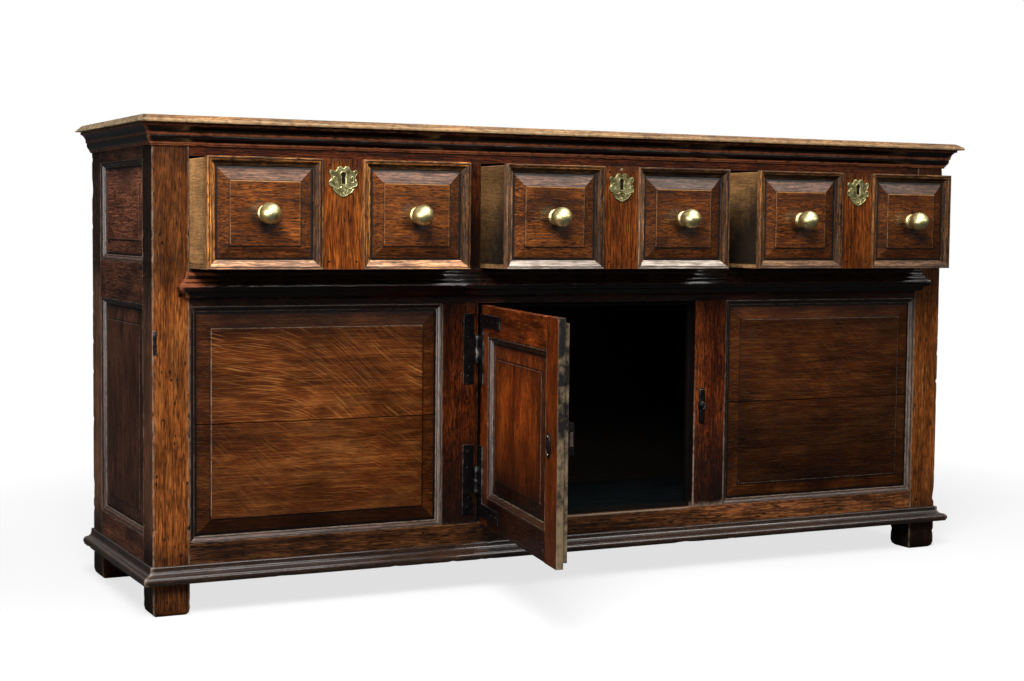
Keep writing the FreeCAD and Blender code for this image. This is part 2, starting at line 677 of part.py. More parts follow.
def case():
    """The fixed frame: posts, rails, uprights, panels and pegs."""
    wholes, boards, mouldings = front_panels()
    pegs_front, pegs_side = front_pegs(), side_pegs()
    turns = button_screw_hole()
    rails = {}
    tenons_front, stubs = [], []
    uprights = {}
    for name, x0, z0, z1, width in (
            ("muntin_left", left_bay_right, size.bottom_rail_high, size.mid_rail_low, size.muntin_width),
            ("muntin_right", door_right, size.bottom_rail_high, size.mid_rail_low, size.muntin_width),
            ("divider_left", divider_1, size.mid_rail_high, size.top_rail_low, size.divider_width),
            ("divider_right", divider_2, size.mid_rail_high, size.top_rail_low, size.divider_width)):
        pieces, ends = tenoned(name, x0, x0 + width, z0, z1, front, size.upright_thick, True)
        uprights[name] = join(name + "_whole", pieces)
        stubs.extend(ends)
    for name, z0, z1 in (("front_bottom_rail", size.bottom_rail_low, size.bottom_rail_high),
                         ("front_mid_rail", size.mid_rail_low, size.mid_rail_high),
                         ("front_top_rail", size.top_rail_low, size.case_height)):
        pieces, ends = tenoned(name, -post_inner, post_inner, z0, z1, front, size.rail_thick)
        rails[name] = join(name + "_whole", pieces)
        tenons_front.extend(ends)
    mortises = {"front_bottom_rail": [], "front_mid_rail": [], "front_top_rail": bolt_mortises()}
    for name, whole in rails.items():
        node(name, [cut(name, whole, [*stubs, *wholes, *pegs_front, *mortises[name]])])
    node("front_muntins", [cut("muntin_left_grooved", uprights["muntin_left"], wholes),
                           cut("muntin_right_grooved", uprights["muntin_right"], [*wholes, turns])])
    node("drawer_dividers", [uprights["divider_left"], uprights["divider_right"]])

    side_rails, panels_of_sides, side_tenons = [], [], []
    for side in SIDE_WORDS:
        some_rails, tenons = side_frame(side)
        panels, lengths = side_panels(side)
        side_rails.extend(cut(rail.Name + "_grooved", rail, [panels, *pegs_side]) for rail in some_rails)
        panels_of_sides.append(panels)
        mouldings.append(lengths)
        side_tenons.extend(tenons)
    node("side_rails", side_rails)
    node("side_panels", panels_of_sides)
    node("front_panels", boards)
    node("panel_mouldings", mouldings)

    back_tenons, back_rails = [], []
    for level, (low, high) in enumerate(((size.bottom_rail_low, size.bottom_rail_high),
                                         (size.back_mid_low, size.side_mid_high),
                                         (size.side_top_low, size.case_height))):
        pieces, ends = tenoned("back_rail_%d" % level, -post_inner, post_inner, low, high, back_rail_front,
                               size.back_rail_thick)
        back_rails.append(join("back_rail_%d" % level, pieces))
        back_tenons.extend(ends)
    node("back_rails", back_rails)
    tools = [*tenons_front, *side_tenons, *back_tenons, *wholes, *panels_of_sides, *pegs_front, *pegs_side]
    inset = size.foot_inset
    for row, y0, y1 in (("front", front, post_front_back), ("back", post_back_front, back)):
        for word, x0, x1 in (("left", -half, -post_inner), ("right", post_inner, half)):
            name = "post_%s_%s" % (row, word)
            shaft = board(name + "_shaft", x0, x1, y0, y1, size.foot_worn, size.case_height)
            worn = (x0 + inset, x1 - inset, y0 + inset, y1 - inset)
            foot = slope_up(name + "_foot", worn, (x0, x1, y0, y1), as_size(0), size.foot_worn)
            node(name, [cut(name, join(name + "_whole", [shaft, foot]), tools)])
    node("joint_pegs", [*pegs_front, *pegs_side])


def top():
    """Two boards with a sloped edge at the front and the ends."""
    x1 = half + size.top_overhang
    slope = size.top_slope
    y0 = front - size.top_overhang
    joint = y0 + size.top_front_board
    y1 = back + size.top_back
    low = size.case_height
    lip = low + size.top_lip
    boards = []
    for word, a, b, set_back in (("front", y0, joint, slope), ("back", joint, y1, as_size(0))):
        name = "top_board_" + word
        square = board(name + "_lip", -x1, x1, a, b, low, lip)
        sloped = slope_up(name + "_slope", (-x1, x1, a, b), (slope - x1, x1 - slope, a + set_back, b), lip,
                          low + size.top_thick)
        boards.append(join(name, [square, sloped]))
    node("top_boards", boards)


def run_of_moulding(name, profile, out, z_top):
    """A moulding across the front and along both sides, mitred at the corners."""
    width = size.case_width + out * 2
    depth = size.case_depth + out
    lengths = [moulding(name + "_front", profile, width, "outer", "outer"),
               moulding(name + "_left", profile, depth, "square", "outer"),
               moulding(name + "_right", profile, depth, "outer", "square")]
    place(lengths[0], -half - out, front, z_top)
    place(lengths[1], -half, back, z_top, turn=-90)
    place(lengths[2], half, front - out, z_top, turn=90)
    node(name, lengths)


def mid_moulding():
    """The moulding under the drawers, with its ends returned to the rail."""
    out = size.mid_out
    z_top = size.mid_low + size.mid_height
    profile = mid_profile()
    lengths = [moulding("mid_front", profile, post_inner * 2 + out * 2, "outer", "outer"),
               moulding("mid_left", profile, out, "square", "outer"),
               moulding("mid_right", profile, out, "outer", "square")]
    place(lengths[0], -post_inner - out, front, z_top)
    place(lengths[1], -post_inner, front, z_top, turn=-90)
    place(lengths[2], post_inner, front - out, z_top, turn=90)
    node("mid_moulding", lengths)


def back_and_floor():
    """Back boards, cupboard floor, and the battens that carry the floor and the drawers."""
    left, right = -post_inner, post_inner
    node("back_boards", boards_across("back_board", BACK_BOARDS, left, right, back_board_front, back,
                                      size.bottom_rail_low, size.case_height))
    floor_low = size.floor_top - size.floor_thick
    node("floor_boards", boards_across("floor_board", FLOOR_BOARDS, left, right, rail_back, back_rail_front,
                                       floor_low, size.floor_top, "y"))
    wide = size.batten
    battens = [board("floor_bearer", left, right, y, y + wide, floor_low - wide, floor_low)
               for y in (rail_back, back_rail_front - wide)]
    ledge = size.runner_ledge
    runner_top = size.drawer_low - size.runner_drop
    kicker_low = size.top_rail_low + size.runner_drop
    runs = [(left, left + ledge), (right - ledge, right)]
    for x in (divider_1, divider_2):
        x1 = x + size.divider_width
        runs.append((x - ledge, x1 + ledge))
        battens.append(board("drawer_guide", x, x1, rail_back, back_rail_front, runner_top,
                             runner_top + size.guide_height))
    for x0, x1 in runs:
        for name, low in (("drawer_runner", runner_top - wide), ("drawer_kicker", kicker_low)):
            battens.append(board(name, x0, x1, rail_back, back_rail_front, low, low + wide))
    y1 = front + size.upright_thick
    y0 = y1 - size.stop_thick
    stop = size.stop_width
    z0, z1 = size.bottom_rail_high, size.mid_rail_low
    battens.append(board("door_stop_lock", door_right - stop, door_right, y0, y1, z0, z1))
    battens.append(board("door_stop_top", door_left, door_right - stop, y0, y1, z1 - stop, z1))
    battens.append(board("door_stop_bottom", door_left, door_right - stop, y0, y1, z0, z0 + stop))
    node("inner_battens", battens)


def keyhole(name, x, y0, y1, z, scale=1):
    """A keyhole's round and slot about the middle of its plate, as the tool that cuts it."""
    top = z + size.key_rise * scale
    wide = size.key_slot * (scale / 2)
    round_part = rod_back(name + "_round", size.key_radius * scale, y1 - y0, x, y0, top)
    slot = board(name + "_slot", x - wide, x + wide, y0, y1, top - size.key_drop * scale, top)
    return join(name, [round_part, slot])


def bolt_box(name, x, z_low, slack):
    """A drawer bolt's own shape, or with slack the way that it slides in."""
    wide = size.bolt_width / 2 + slack
    y0 = ground + size.front_board - size.lock_depth + size.bolt_set
    return board(name, x - wide, x + wide, y0 - slack, y0 + size.bolt_thick + slack, z_low - slack,
                 z_low + size.bolt_length + slack)


def bolt_rest():
    """Underside of a drawn-back drawer bolt."""
    return size.drawer_high - size.bolt_slack - size.bolt_length


def bolt_mortises():
    """Mortises for the drawer bolts in the top rail."""
    low = bolt_rest() + size.bolt_throw
    return [bolt_box(name + "_mortise", (x0 + x1) / 2, low, size.bolt_slack * 2)
            for name, x0, x1, pulled in DRAWERS]


def mirrored(foot, right, crown):
    """Close the right half of an outline, which runs up from foot to crown, with its mirror image."""
    rising = [foot, *right, crown]
    falling = [(-low[0], low[1], *high[2:]) for low, high in zip(rising[-2:0:-1], rising[:1:-1])]
    return [(*foot, *right[0][2:]), *right, crown, *falling]


def key_plate(name, x, y, z):
    """A cast key plate, a lobed shield with a keyhole."""
    wide, rise, fall = size.plate_half, size.plate_rise, size.plate_fall
    foot, crown = (as_size(0), -fall), (as_size(0), rise * 0.88, -3)
    cup = [(wide * 0.31, fall * -0.86, 14), (wide * 0.69, fall * -0.53, 16), (wide * 0.75, fall * -0.43, 3),
           (wide * 0.56, fall * -0.38)]
    lobe = [(wide * 0.86, fall * -0.31), (wide, fall * -0.10, 6), (wide * 0.97, rise * 0.08, 5),
            (wide * 0.865, rise * 0.275, -7)]
    ear = [(wide * 0.965, rise * 0.50, -9), (wide * 0.98, rise * 0.68, 4), (wide * 0.87, rise * 0.78, 3.5),
           (wide * 0.74, rise * 0.70, 4), (wide * 0.63, rise * 0.675, -3)]
    crest = [(wide * 0.43, rise * 0.90, -9), (wide * 0.25, rise, 5), (wide * 0.08, rise * 0.93, 4)]
    right = [*cup, *lobe, *ear, *crest]
    body = doc.addObject("PartDesign::Body", name)
    shield = outline(body, name + "_outline", "XZ_Plane", mirrored(foot, right, crown))
    pad(body, name + "_cast", shield, size.plate_thick)
    place(body, x, y, z)
    return cut(name + "_pierced", body, [keyhole(name + "_key", x, y - size.plate_thick, y, z)])


def knob(name, x, y, z):
    """A turned knob: shank, collar, waist and egg-shaped head; it stands out towards -Y."""
    body = doc.addObject("PartDesign::Body", name)
    length, shank, collar, ring = size.knob_length, size.knob_shank, size.knob_collar, size.knob_ring
    corners = [(0, -size.shank_length), (shank, -size.shank_length), (shank, 0), (collar, 0), (collar, ring),
               (collar - 1.2, ring + 1.2, 1.8), (size.knob_waist, size.knob_waist_set, -3.5),
               (size.knob_radius, size.knob_widest, size.knob_swell), (size.knob_tip, length, size.knob_crown),
               (0, length)]
    profile = outline(body, name + "_profile", "XY_Plane", corners)
    turned = body.newObject("PartDesign::Revolution", name + "_turned")
    turned.Profile = profile
    turned.ReferenceAxis = (profile, ["V_Axis"])
    turned.Angle = 360
    place(body, x, y, z, Vector(1, 0, 0), 180)
    return body


def drawer(name, x0, x1, pulled):
    """One drawer, drawn shut and then pulled out."""

    def out(item):
        place(item, 0, -pulled, 0)

    a, b = x0 + size.drawer_gap, x1 - size.drawer_gap
    low, high = size.drawer_low, size.drawer_high
    floor = low + size.drawer_bottom
    thick = size.drawer_side
    board_back = ground + size.front_board
    end = ground + size.drawer_length
    middle = (a + b) / 2
    panel_wide = (b - a - size.centre_board) / 2
    plate_z = high - size.plate_down
    face = ground - size.centre_thick
    field_face = ground - size.facing_slab - size.facing_rise - size.field_step
    lock_front = board_back - size.lock_depth

    panels, mouldings, knobs, shanks = [], [], [], []
    rim = size.facing_moulding
    for word, left in (("one", a), ("two", b - panel_wide)):
        right = left + panel_wide
        centre = (left + right) / 2
        shank = rod_back("%s_shank_%s" % (name, word), size.knob_shank, size.shank_length, centre, field_face,
                         drawer_middle)
        panel = fielded("%s_panel_%s" % (name, word), left + rim, right - rim, low + rim, high - rim,
                        ground - size.facing_slab, size.facing_bevel, size.facing_rise, size.facing_slab,
                        as_size(0))
        panels.append(cut("%s_panel_%s_drilled" % (name, word), panel, [shank]))
        mouldings.extend(mitred_frame("%s_moulding_%s" % (name, word), drawer_profile(), left, right, low,
                                      high, ground))
        knobs.append(knob("%s_knob_%s" % (name, word), centre, field_face, drawer_middle))
        shanks.append(shank)
    key = keyhole(name + "_key", middle, face, lock_front + size.bolt_set - size.bolt_slack, plate_z)
    upright = board(name + "_upright", middle - size.centre_board / 2, middle + size.centre_board / 2, face,
                    ground, low, high)
    panels.append(cut(name + "_upright_pierced", upright, [key]))
    node(name + "_panels", panels, out)
    node(name + "_mouldings", mouldings, out)

    lock_half = size.lock_width / 2
    lock_case = board(name + "_lock_case", middle - lock_half, middle + lock_half, lock_front, board_back,
                      high - size.lock_height, high)
    plank = board(name + "_plank", a + thick, b - thick, ground, board_back, floor, high)
    node(name + "_front", [cut(name + "_front_cut", plank, [lock_case, key, *shanks])], out)
    bolt = bolt_box(name + "_bolt_bar", middle, bolt_rest(), as_size(0))
    way = bolt_box(name + "_bolt_way", middle, bolt_rest(), size.bolt_slack)
    node(name + "_lock", [cut(name + "_lock_cut", lock_case, [way, key])], out)
    node(name + "_bolt", [bolt], out)

    sides = [board(name + "_side", x, x + thick, ground, end, floor, high - size.side_drop)
             for x in (a, b - thick)]
    rear = board(name + "_back", a + thick, b - thick, end - thick, end, floor, high - size.back_drop)
    node(name + "_box", [*sides, rear], out)
    node(name + "_bottom", boards_across(name + "_bottom_board", DRAWER_BOTTOM_BOARDS, a, b, ground, end, low,
                                         floor), out)
    node(name + "_knobs", knobs, out)
    node(name + "_escutcheon", [key_plate(name + "_plate", middle, face, plate_z)], out)


def swing(item):
    """Set a piece of the door on its hinge axis and open it."""
    place(item, hinge_x, hinge_y, 0, Vector(0, 0, -1), size.door_open.value)
    item.setExpression("Placement.Rotation.Angle", size.door_open.text)


def door():
    """The door, drawn shut about its hinge axis and then opened; x = 0 and y = 0 lie on the axis."""
    left = size.hinge_inset + size.door_gap
    right = left + size.door_bay - size.door_gap * 2
    low, high = size.bottom_rail_high + size.door_gap, size.mid_rail_low - size.door_gap
    face = size.hinge_out
    shoulder = face + size.door_lip
    rear = face + size.door_thick
    rebate = size.door_rebate
    in_left, in_right = left + size.hinge_stile, right - size.lock_stile
    in_low, in_high = low + size.door_bottom_rail, high - size.door_top_rail

    inset = size.panel_moulding
    sunk = face + size.panel_sunk
    panel = fielded("door_panel_whole", in_left + inset, in_right - inset, in_low + inset, in_high - inset,
                    sunk, size.panel_bevel, size.panel_rise, size.panel_slab, size.panel_tongue + inset)
    tenons, rails = [], []
    for name, z0, z1, rear_low, rear_high in (("door_rail_low", low, in_low, low + rebate, in_low),
                                              ("door_rail_high", in_high, high, in_high, high - rebate)):
        pieces = [board(name + "_lip", in_left, in_right, face, shoulder, z0, z1),
                  board(name + "_rear", in_left, in_right, shoulder, rear, rear_low, rear_high)]
        y0, y1 = face + size.tenon_set, face + size.tenon_set + size.tenon_thick / 2
        z_low, z_high = rear_low + size.tenon_shoulder, rear_high - size.tenon_shoulder
        for x0, x1 in ((in_left - size.tenon_length, in_left), (in_right, in_right + size.tenon_length)):
            tenons.append(board(name + "_tenon", x0, x1, y0, y1, z_low, z_high))
        rails.append(cut(name, join(name + "_whole", [*pieces, *tenons[-2:]]), [panel]))
    stiles = []
    for name, x0, x1, rear_right in (("door_stile_hinge", left, in_left, in_left),
                                     ("door_stile_lock", in_right, right, right - rebate)):
        lip = board(name + "_lip", x0, x1, face, shoulder, low, high)
        back_part = board(name + "_rear", x0, rear_right, shoulder, rear, low + rebate, high - rebate)
        stiles.append(cut(name, join(name + "_whole", [lip, back_part]), [*tenons, panel]))
    node("door_frame", [*stiles, *rails], swing)
    node("door_panel", [panel], swing)
    node("door_mouldings", mitred_frame("door_moulding", panel_profile(), in_left, in_right, in_low, in_high,
                                        sunk), swing)

    lock_end = right - rebate
    z0 = size.door_lock_middle - size.door_lock_height / 2
    case_box = board("door_lock_case", lock_end - size.door_lock_width, lock_end, rear,
                     rear + size.door_lock_depth, z0, z0 + size.door_lock_height)
    slack = size.bolt_slack
    z0, z1 = size.door_lock_middle - size.bolt_width / 2, size.door_lock_middle + size.bolt_width / 2
    y0 = rear + size.bolt_set
    y1 = y0 + size.bolt_thick
    bolt = board("door_bolt_bar", lock_end - size.door_bolt_length, lock_end, y0, y1, z0, z1)
    way = board("door_bolt_way", lock_end - size.door_bolt_length - slack, lock_end, y0 - slack, y1 + slack,
                z0 - slack, z1 + slack)
    node("door_lock", [cut("door_lock_cut", case_box, [way])], swing)
    node("door_bolt", [bolt], swing)

    body = doc.addObject("PartDesign::Body", "door_oval")
    bend = size.oval_bend
    x, z = right - size.oval_from_edge, size.oval_middle
    points = [(0, -size.oval_rise, bend), (0, size.oval_rise, bend)]
    oval = outline(body, "door_oval_outline", "XZ_Plane", points)
    pad(body, "door_oval_plate", oval, size.oval_thick)
    place(body, x, face, z)
    key = keyhole("door_key", x, face - size.oval_thick, face, z, DOOR_KEY)
    node("door_key_plate", [cut("door_oval_pierced", body, [key])], swing)


def knuckles(name, middle, outer):
    """Barrel of one hinge: the two outer knuckles or the one between them, with the pin's hole."""
    share = size.barrel_height / 3
    bottom = middle - size.barrel_height / 2
    gap = size.knuckle_gap / 2
    spans = ((bottom, bottom + share - gap), (bottom + share * 2 + gap, bottom + share * 3))
    if not outer:
        spans = ((bottom + share + gap, bottom + share * 2 - gap),)
    return [(rod(name + "_knuckle", size.barrel_radius, high - low, 0, 0, low), low, high)
            for low, high in spans]


def hinge_leaf(name, middle, side, leg):
    """A leaf about the axis; side -1 is the frame's leaf, side 1 the door's, which has a leg."""
    face = size.hinge_out
    near, far = size.leaf_from_axis, size.leaf_from_axis + size.leaf_width
    x0, x1 = (near, far) if side > 0 else (-far, -near)
    y0 = face - size.leaf_thick
    bottom, crown = middle - size.leaf_height / 2, middle + size.leaf_height / 2
    pieces = [board(name + "_plate", x0, x1, y0, face, bottom, crown)]
    if leg:
        z0 = crown - size.leg_width if leg == "high" else bottom
        pieces.append(board(name + "_leg", x0, size.leg_reach, y0, face, z0, z0 + size.leg_width))
    for barrel, low, high in knuckles(name, middle, side < 0):
        tab = (as_size(0), far) if side > 0 else (-far, as_size(0))
        pieces.append(barrel)
        pieces.append(board(name + "_tab", *tab, y0, face - size.tab_gap, low, high))
    hole = rod(name + "_bore", size.pin_radius + size.pin_play, size.leaf_height, 0, 0, bottom)
    return cut(name, join(name + "_whole", pieces), [hole])


def hinges():
    """Two iron hinges: frame leaves and pins on the case, leaves with a leg on the door."""

    def on_axis(item):
        place(item, hinge_x, hinge_y, 0)

    pins, frame_leaves, door_leaves = [], [], []
    for name, middle, leg in (("hinge_upper", size.upper_hinge, "high"),
                              ("hinge_lower", size.lower_hinge, "low")):
        low, high = middle - size.barrel_height / 2, middle + size.barrel_height / 2
        shaft = rod(name + "_shaft", size.pin_radius, size.barrel_height, 0, 0, low)
        heads = [rod(name + "_head", size.pin_head, size.pin_head_height, 0, 0, z)
                 for z in (high, low - size.pin_head_height)]
        pins.append(join(name + "_pin", [shaft, *heads]))
        frame_leaves.append(hinge_leaf(name + "_frame_leaf", middle, -1, None))
        door_leaves.append(hinge_leaf(name + "_door_leaf", middle, 1, leg))
    node("hinge_pins", pins, on_axis)
    node("hinge_frame_leaves", frame_leaves, on_axis)
    node("door_hinge_leaves", door_leaves, swing)


def button_screw_hole():
    """The screw's hole in the right muntin."""
    x = door_right + size.button_from_edge
    return rod_back("button_screw_hole", size.screw_radius, size.screw_length, x, front, size.button_middle)


def turn_button():
    """A small iron button that turns on its screw to hold the door."""
    x, z = door_right + size.button_from_edge, size.button_middle
    rear = front - size.button_gap
    face = rear - size.button_thick
    tip, end, boss, bend = size.button_half, size.button_end, size.button_waist, size.button_bend
    arm = tip * 0.25
    square = end * 0.5
    foot, crown = (as_size(0), -tip), (as_size(0), tip)
    right = [(square, -tip), (end, square - tip, square), (end, -arm), (boss, as_size(0), bend),
             (end, arm, bend), (end, tip - square), (square, tip, square)]
    body = doc.addObject("PartDesign::Body", "button_bar")
    bar = outline(body, "button_outline", "XZ_Plane", mirrored(foot, right, crown))
    pad(body, "button_plate", bar, size.button_thick)
    place(body, x, rear, z)
    bore = rod_back("button_bore", size.screw_radius + size.pin_play, size.button_thick, x, face, z)
    node("turn_button", [cut("button_bored", body, [bore])])
    head_back = face - size.button_gap
    head_high = size.screw_head_height
    head = rod_back("button_screw_head", size.screw_head, head_high, x, head_back - head_high, z)
    shank = rod_back("button_screw_shank", size.screw_radius, front + size.screw_length - head_back, x,
                     head_back, z)
    node("button_screw", [join("button_screw_whole", [head, shank])])


def check():
    """Stop if an object failed, a shape is bad or a cut removed nothing."""
    for item in doc.Objects:
        if "Invalid" in item.State or "Error" in item.State:
            raise RuntimeError("%s failed: %s" % (item.Name, item.State))
    for before, after in cut_features:
        if after.Shape.Volume > before.Shape.Volume - LEAST_CUT:
            raise RuntimeError("%s cut nothing" % after.Name)
    for item in nodes:
        if item.Shape.isNull() or not item.Shape.isValid():
            raise RuntimeError("%s has a bad shape" % item.Label)


def export():
    """Write each sub-part to its own file."""
    os.makedirs("parts", exist_ok=True)
    for item in nodes:
        item.Shape.exportStep("parts/%s.step" % item.Label)
    print("%d sub-parts" % len(nodes))


case()
top()
run_of_moulding("cornice", cornice_profile(), size.cornice_out, size.case_height)
mid_moulding()
run_of_moulding("base_moulding", base_profile(), size.base_out, size.bottom_rail_low + size.base_height)
back_and_floor()
for drawer_row in DRAWERS:
    drawer(*drawer_row)
door()
hinges()
turn_button()
doc.recompute()
check()
export()
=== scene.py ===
import json
import math

import bmesh
import bpy
import numpy as np
from mathutils import Matrix, Vector


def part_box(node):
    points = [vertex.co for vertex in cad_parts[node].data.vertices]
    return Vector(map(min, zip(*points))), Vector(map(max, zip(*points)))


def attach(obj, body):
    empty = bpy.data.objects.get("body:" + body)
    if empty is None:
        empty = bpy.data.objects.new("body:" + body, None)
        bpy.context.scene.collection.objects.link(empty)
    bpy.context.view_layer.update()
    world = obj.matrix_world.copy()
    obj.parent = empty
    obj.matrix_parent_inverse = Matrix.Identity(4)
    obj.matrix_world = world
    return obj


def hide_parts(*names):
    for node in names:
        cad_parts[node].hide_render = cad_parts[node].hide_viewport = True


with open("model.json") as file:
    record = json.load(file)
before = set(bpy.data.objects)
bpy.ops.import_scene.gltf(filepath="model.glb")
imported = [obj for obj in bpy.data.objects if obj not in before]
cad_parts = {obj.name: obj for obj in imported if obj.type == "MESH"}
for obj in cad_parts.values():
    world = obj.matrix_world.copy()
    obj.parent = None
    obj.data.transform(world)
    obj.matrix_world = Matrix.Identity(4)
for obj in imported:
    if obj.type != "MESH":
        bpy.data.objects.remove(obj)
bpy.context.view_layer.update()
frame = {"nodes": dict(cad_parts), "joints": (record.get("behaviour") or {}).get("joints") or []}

# Places read from the frame, in metres
POST = {name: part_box("post_" + name) for name in ("front_left", "front_right", "back_left", "back_right")}
HALF = POST["front_right"][1].x
POST_INNER = POST["front_right"][0].x
FRONT = POST["front_left"][0].y
BACK = POST["back_left"][1].y
SIDE_FRONT = POST["front_left"][1].y
SIDE_BACK = POST["back_left"][0].y
CASE_HIGH = POST["front_left"][1].z
RAIL_BOXES = [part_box("front_%s_rail" % word) for word in ("bottom", "mid", "top")]
BOTTOM_RAIL, MID_RAIL, TOP_RAIL = ((low.z, high.z) for low, high in RAIL_BOXES)
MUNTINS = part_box("front_muntins")
BAYS = ((-POST_INNER, MUNTINS[0].x), (MUNTINS[1].x, POST_INNER))
BAY_LOW, BAY_HIGH = BOTTOM_RAIL[1], MID_RAIL[0]
BACK_LOW, BACK_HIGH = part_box("back_boards")
BACK_BOARD_COUNT = 8
BACK_PITCH = (BACK_HIGH.x - BACK_LOW.x) / BACK_BOARD_COUNT
HINGE = Vector(next(joint["pos_m"] for joint in frame["joints"] if joint["name"] == "door_hinge"))
HINGE.z = 0

# Driving dimensions of the pieces, in metres
RAIL_THICK = 0.028
UPRIGHT_THICK = 0.024
SIDE_RAIL_THICK = 0.022
MUNTIN = 0.075
DIVIDER = 0.069
SIDE_RAILS = ((0.0605, 0.138), (0.558, 0.632), (0.819, 0.880))
SIDE_BAYS = ((SIDE_RAILS[1][1], SIDE_RAILS[2][0]), (SIDE_RAILS[0][1], SIDE_RAILS[1][0]))
FOOT_WORN = 0.012
FOOT_INSET = 0.006
TOP_THICK = 0.013
TOP_LIP = 0.004
TOP_SLOPE = 0.014
TOP_FRONT_BOARD = 0.292
PANEL_MOULDING = 0.011
PANEL_SUNK = 0.009
PANEL_BEVEL = 0.029
PANEL_RISE = 0.004
FIELD_STEP = 0.001
PANEL_SLAB = 0.008
PANEL_TONGUE = 0.007
PANEL_HIDDEN = PANEL_MOULDING + PANEL_TONGUE
PANEL_CHIP = 0.0006
ARRIS = 0.0006
EASED = 0.0012
WOOD_EASE, METAL_EASE = 0.0008, 0.0005
CENTRE_BOARD = 0.076
CENTRE_THICK = 0.008
FACING_MOULDING = 0.017
FACING_BEVEL = 0.025
FACING_SLAB = 0.0015
FACING_RISE = 0.0045
DRAWER_SIDE = 0.012
DRAWER_BACK_DOWN = 0.010
PIN_UP, PIN_DOWN, PIN_SET = 0.014, 0.011, 0.012
PIN_RADIUS, PIN_RISE = 0.0022, 0.0004
SPOT_DOWN, SPOT_RADIUS, SPOT_RISE = 0.006, 0.003, 0.0006
PLATE_DOWN = 0.041
DOOR_OPEN = math.radians(100.4)
DOOR_FACE = 0.005
DOOR_SHOULDER = 0.0185
DOOR_REAR = 0.028
DOOR_REBATE = 0.009
DOOR_LEFT, DOOR_RIGHT = 0.006, 0.4945
DOOR_LOW, DOOR_HIGH = 0.1325, 0.553
DOOR_IN_LEFT, DOOR_IN_RIGHT = 0.058, 0.4285
DOOR_IN_LOW, DOOR_IN_HIGH = 0.1865, 0.495
LEAF_THICK = 0.0025
LEAF_NEAR, LEAF_FAR = 0.006, 0.028
LEAF_HIGH = 0.135
LEG_REACH, LEG_WIDE = 0.142, 0.024
HINGE_MIDDLES = (0.4685, 0.215)
BARREL_RADIUS, BARREL_HIGH, BARREL_EASED = 0.0048, 0.051, 0.0007
PIN_HOLE, KNUCKLE_GAP = 0.0023, 0.00025
TAB_REACH, TAB_SUNK = 0.010, 0.0003
NAIL_RADIUS, NAIL_RISE = 0.0032, 0.0010
PEG_RADIUS = 0.004
PEG_SET = 0.017
PEG_SHARE = 0.2
PEG_RISE = 0.0005
MOULDING_STEP = 0.010
# Painted highlight: the wear given to the lit bands of a moulding.
LIT_BAND = 0.85
EDGE_RUB = 0.22
PATCH_LOW = 0.470
PATCH_SIZE = (0.007, 0.042)
PATCH_SET, PATCH_THICK = 0.0012, 0.0007
MM = 0.001
WOOD_SMOOTH, PANEL_SMOOTH, METAL_SMOOTH = 35, 9, 40
GROOVE_DIRT_AND_SHADE = 0.0016
END_WEAR = 0.8
EVEN = (0.0, 0.0, 0.0, 0.0)
WHITE = (1.0, 1.0, 1.0, 1.0)

# Moulding profiles, (out, across) in millimetres; a third number is the radius of the curve that
# leads to the point, negative where it is a hollow
PANEL_PROFILE = ((0, 0), (9, 0), (9, 1.5), (7.5, 1.5), (3, 8, 8), (3, 9.5), (0, 11))
DRAWER_PROFILE = ((0, 0), (11, 0), (12, 1), (12, 3.2), (10.8, 3.6), (10.8, 4.2), (7.4, 9.4, 6.5),
                  (3.6, 14.4, -7), (3.6, 15.4), (2.5, 17), (0, 17))
CORNICE_PROFILE = ((0, 0), (22, 0), (22, 5), (20, 5), (12, 18, -16), (12, 21), (9.5, 21), (5, 34, 12),
                   (5, 37), (3, 37), (3, 40), (0, 40))
MID_PROFILE = ((0, 0), (9.5, 0), (9.5, 4), (15, 14, -11), (16, 17), (16, 37, 10.15), (13.5, 37), (11.5, 41),
               (10, 46), (0, 46))
BASE_PROFILE = ((0, 0), (3, 0), (5, 2), (5, 8), (14, 16, -10.5), (16.5, 16.5), (19, 29.5, 8), (19, 31.5),
                (0, 31.5))
KNOB_PROFILE = ((0, 0), (14.4, 0), (15, 0.6, 0.7), (15, 2.2), (14.4, 2.8, 0.7), (13.9, 3.0), (14.3, 3.6, 0.8),
                (13.8, 4.6, 1.2), (12.3, 7.5, -3.5), (18.8, 27, 33.3), (3, 50, 24.6), (0, 50))


def srgb(red, green, blue):
    """A colour given as it looks on a screen, 0 to 255, as linear light."""
    parts = [channel / 255 for channel in (red, green, blue)]
    linear = [part / 12.92 if part <= 0.04045 else ((part + 0.055) / 1.055) ** 2.4 for part in parts]
    return (*linear, 1.0)


def mixed(first, second, share):
    """A colour part of the way between two."""
    return tuple(a + (b - a) * share for a, b in zip(first, second))


BLACK = (0.0035, 0.0025, 0.002, 1.0)
# Pale grey of dust, also laid on as painted sheen.
DUST_AND_SHEEN = srgb(160, 149, 137)
# Point marks: wear with painted highlights, dirt with painted shade, tone, bare wood and silver figure.
MARKS = ("wear_and_highlight", "dirt_and_shade", "tone", "bare", "rays")
WOOD_BUMP, IRON_BUMP, BRASS_BUMP = 0.0009, 0.0008, 0.0005
BOARD_SHIFT = 7.3
RAY_TURNS = 2 * math.pi / 0.42
RAY_ARCH = 0.030
RAY_SLANT = -0.5


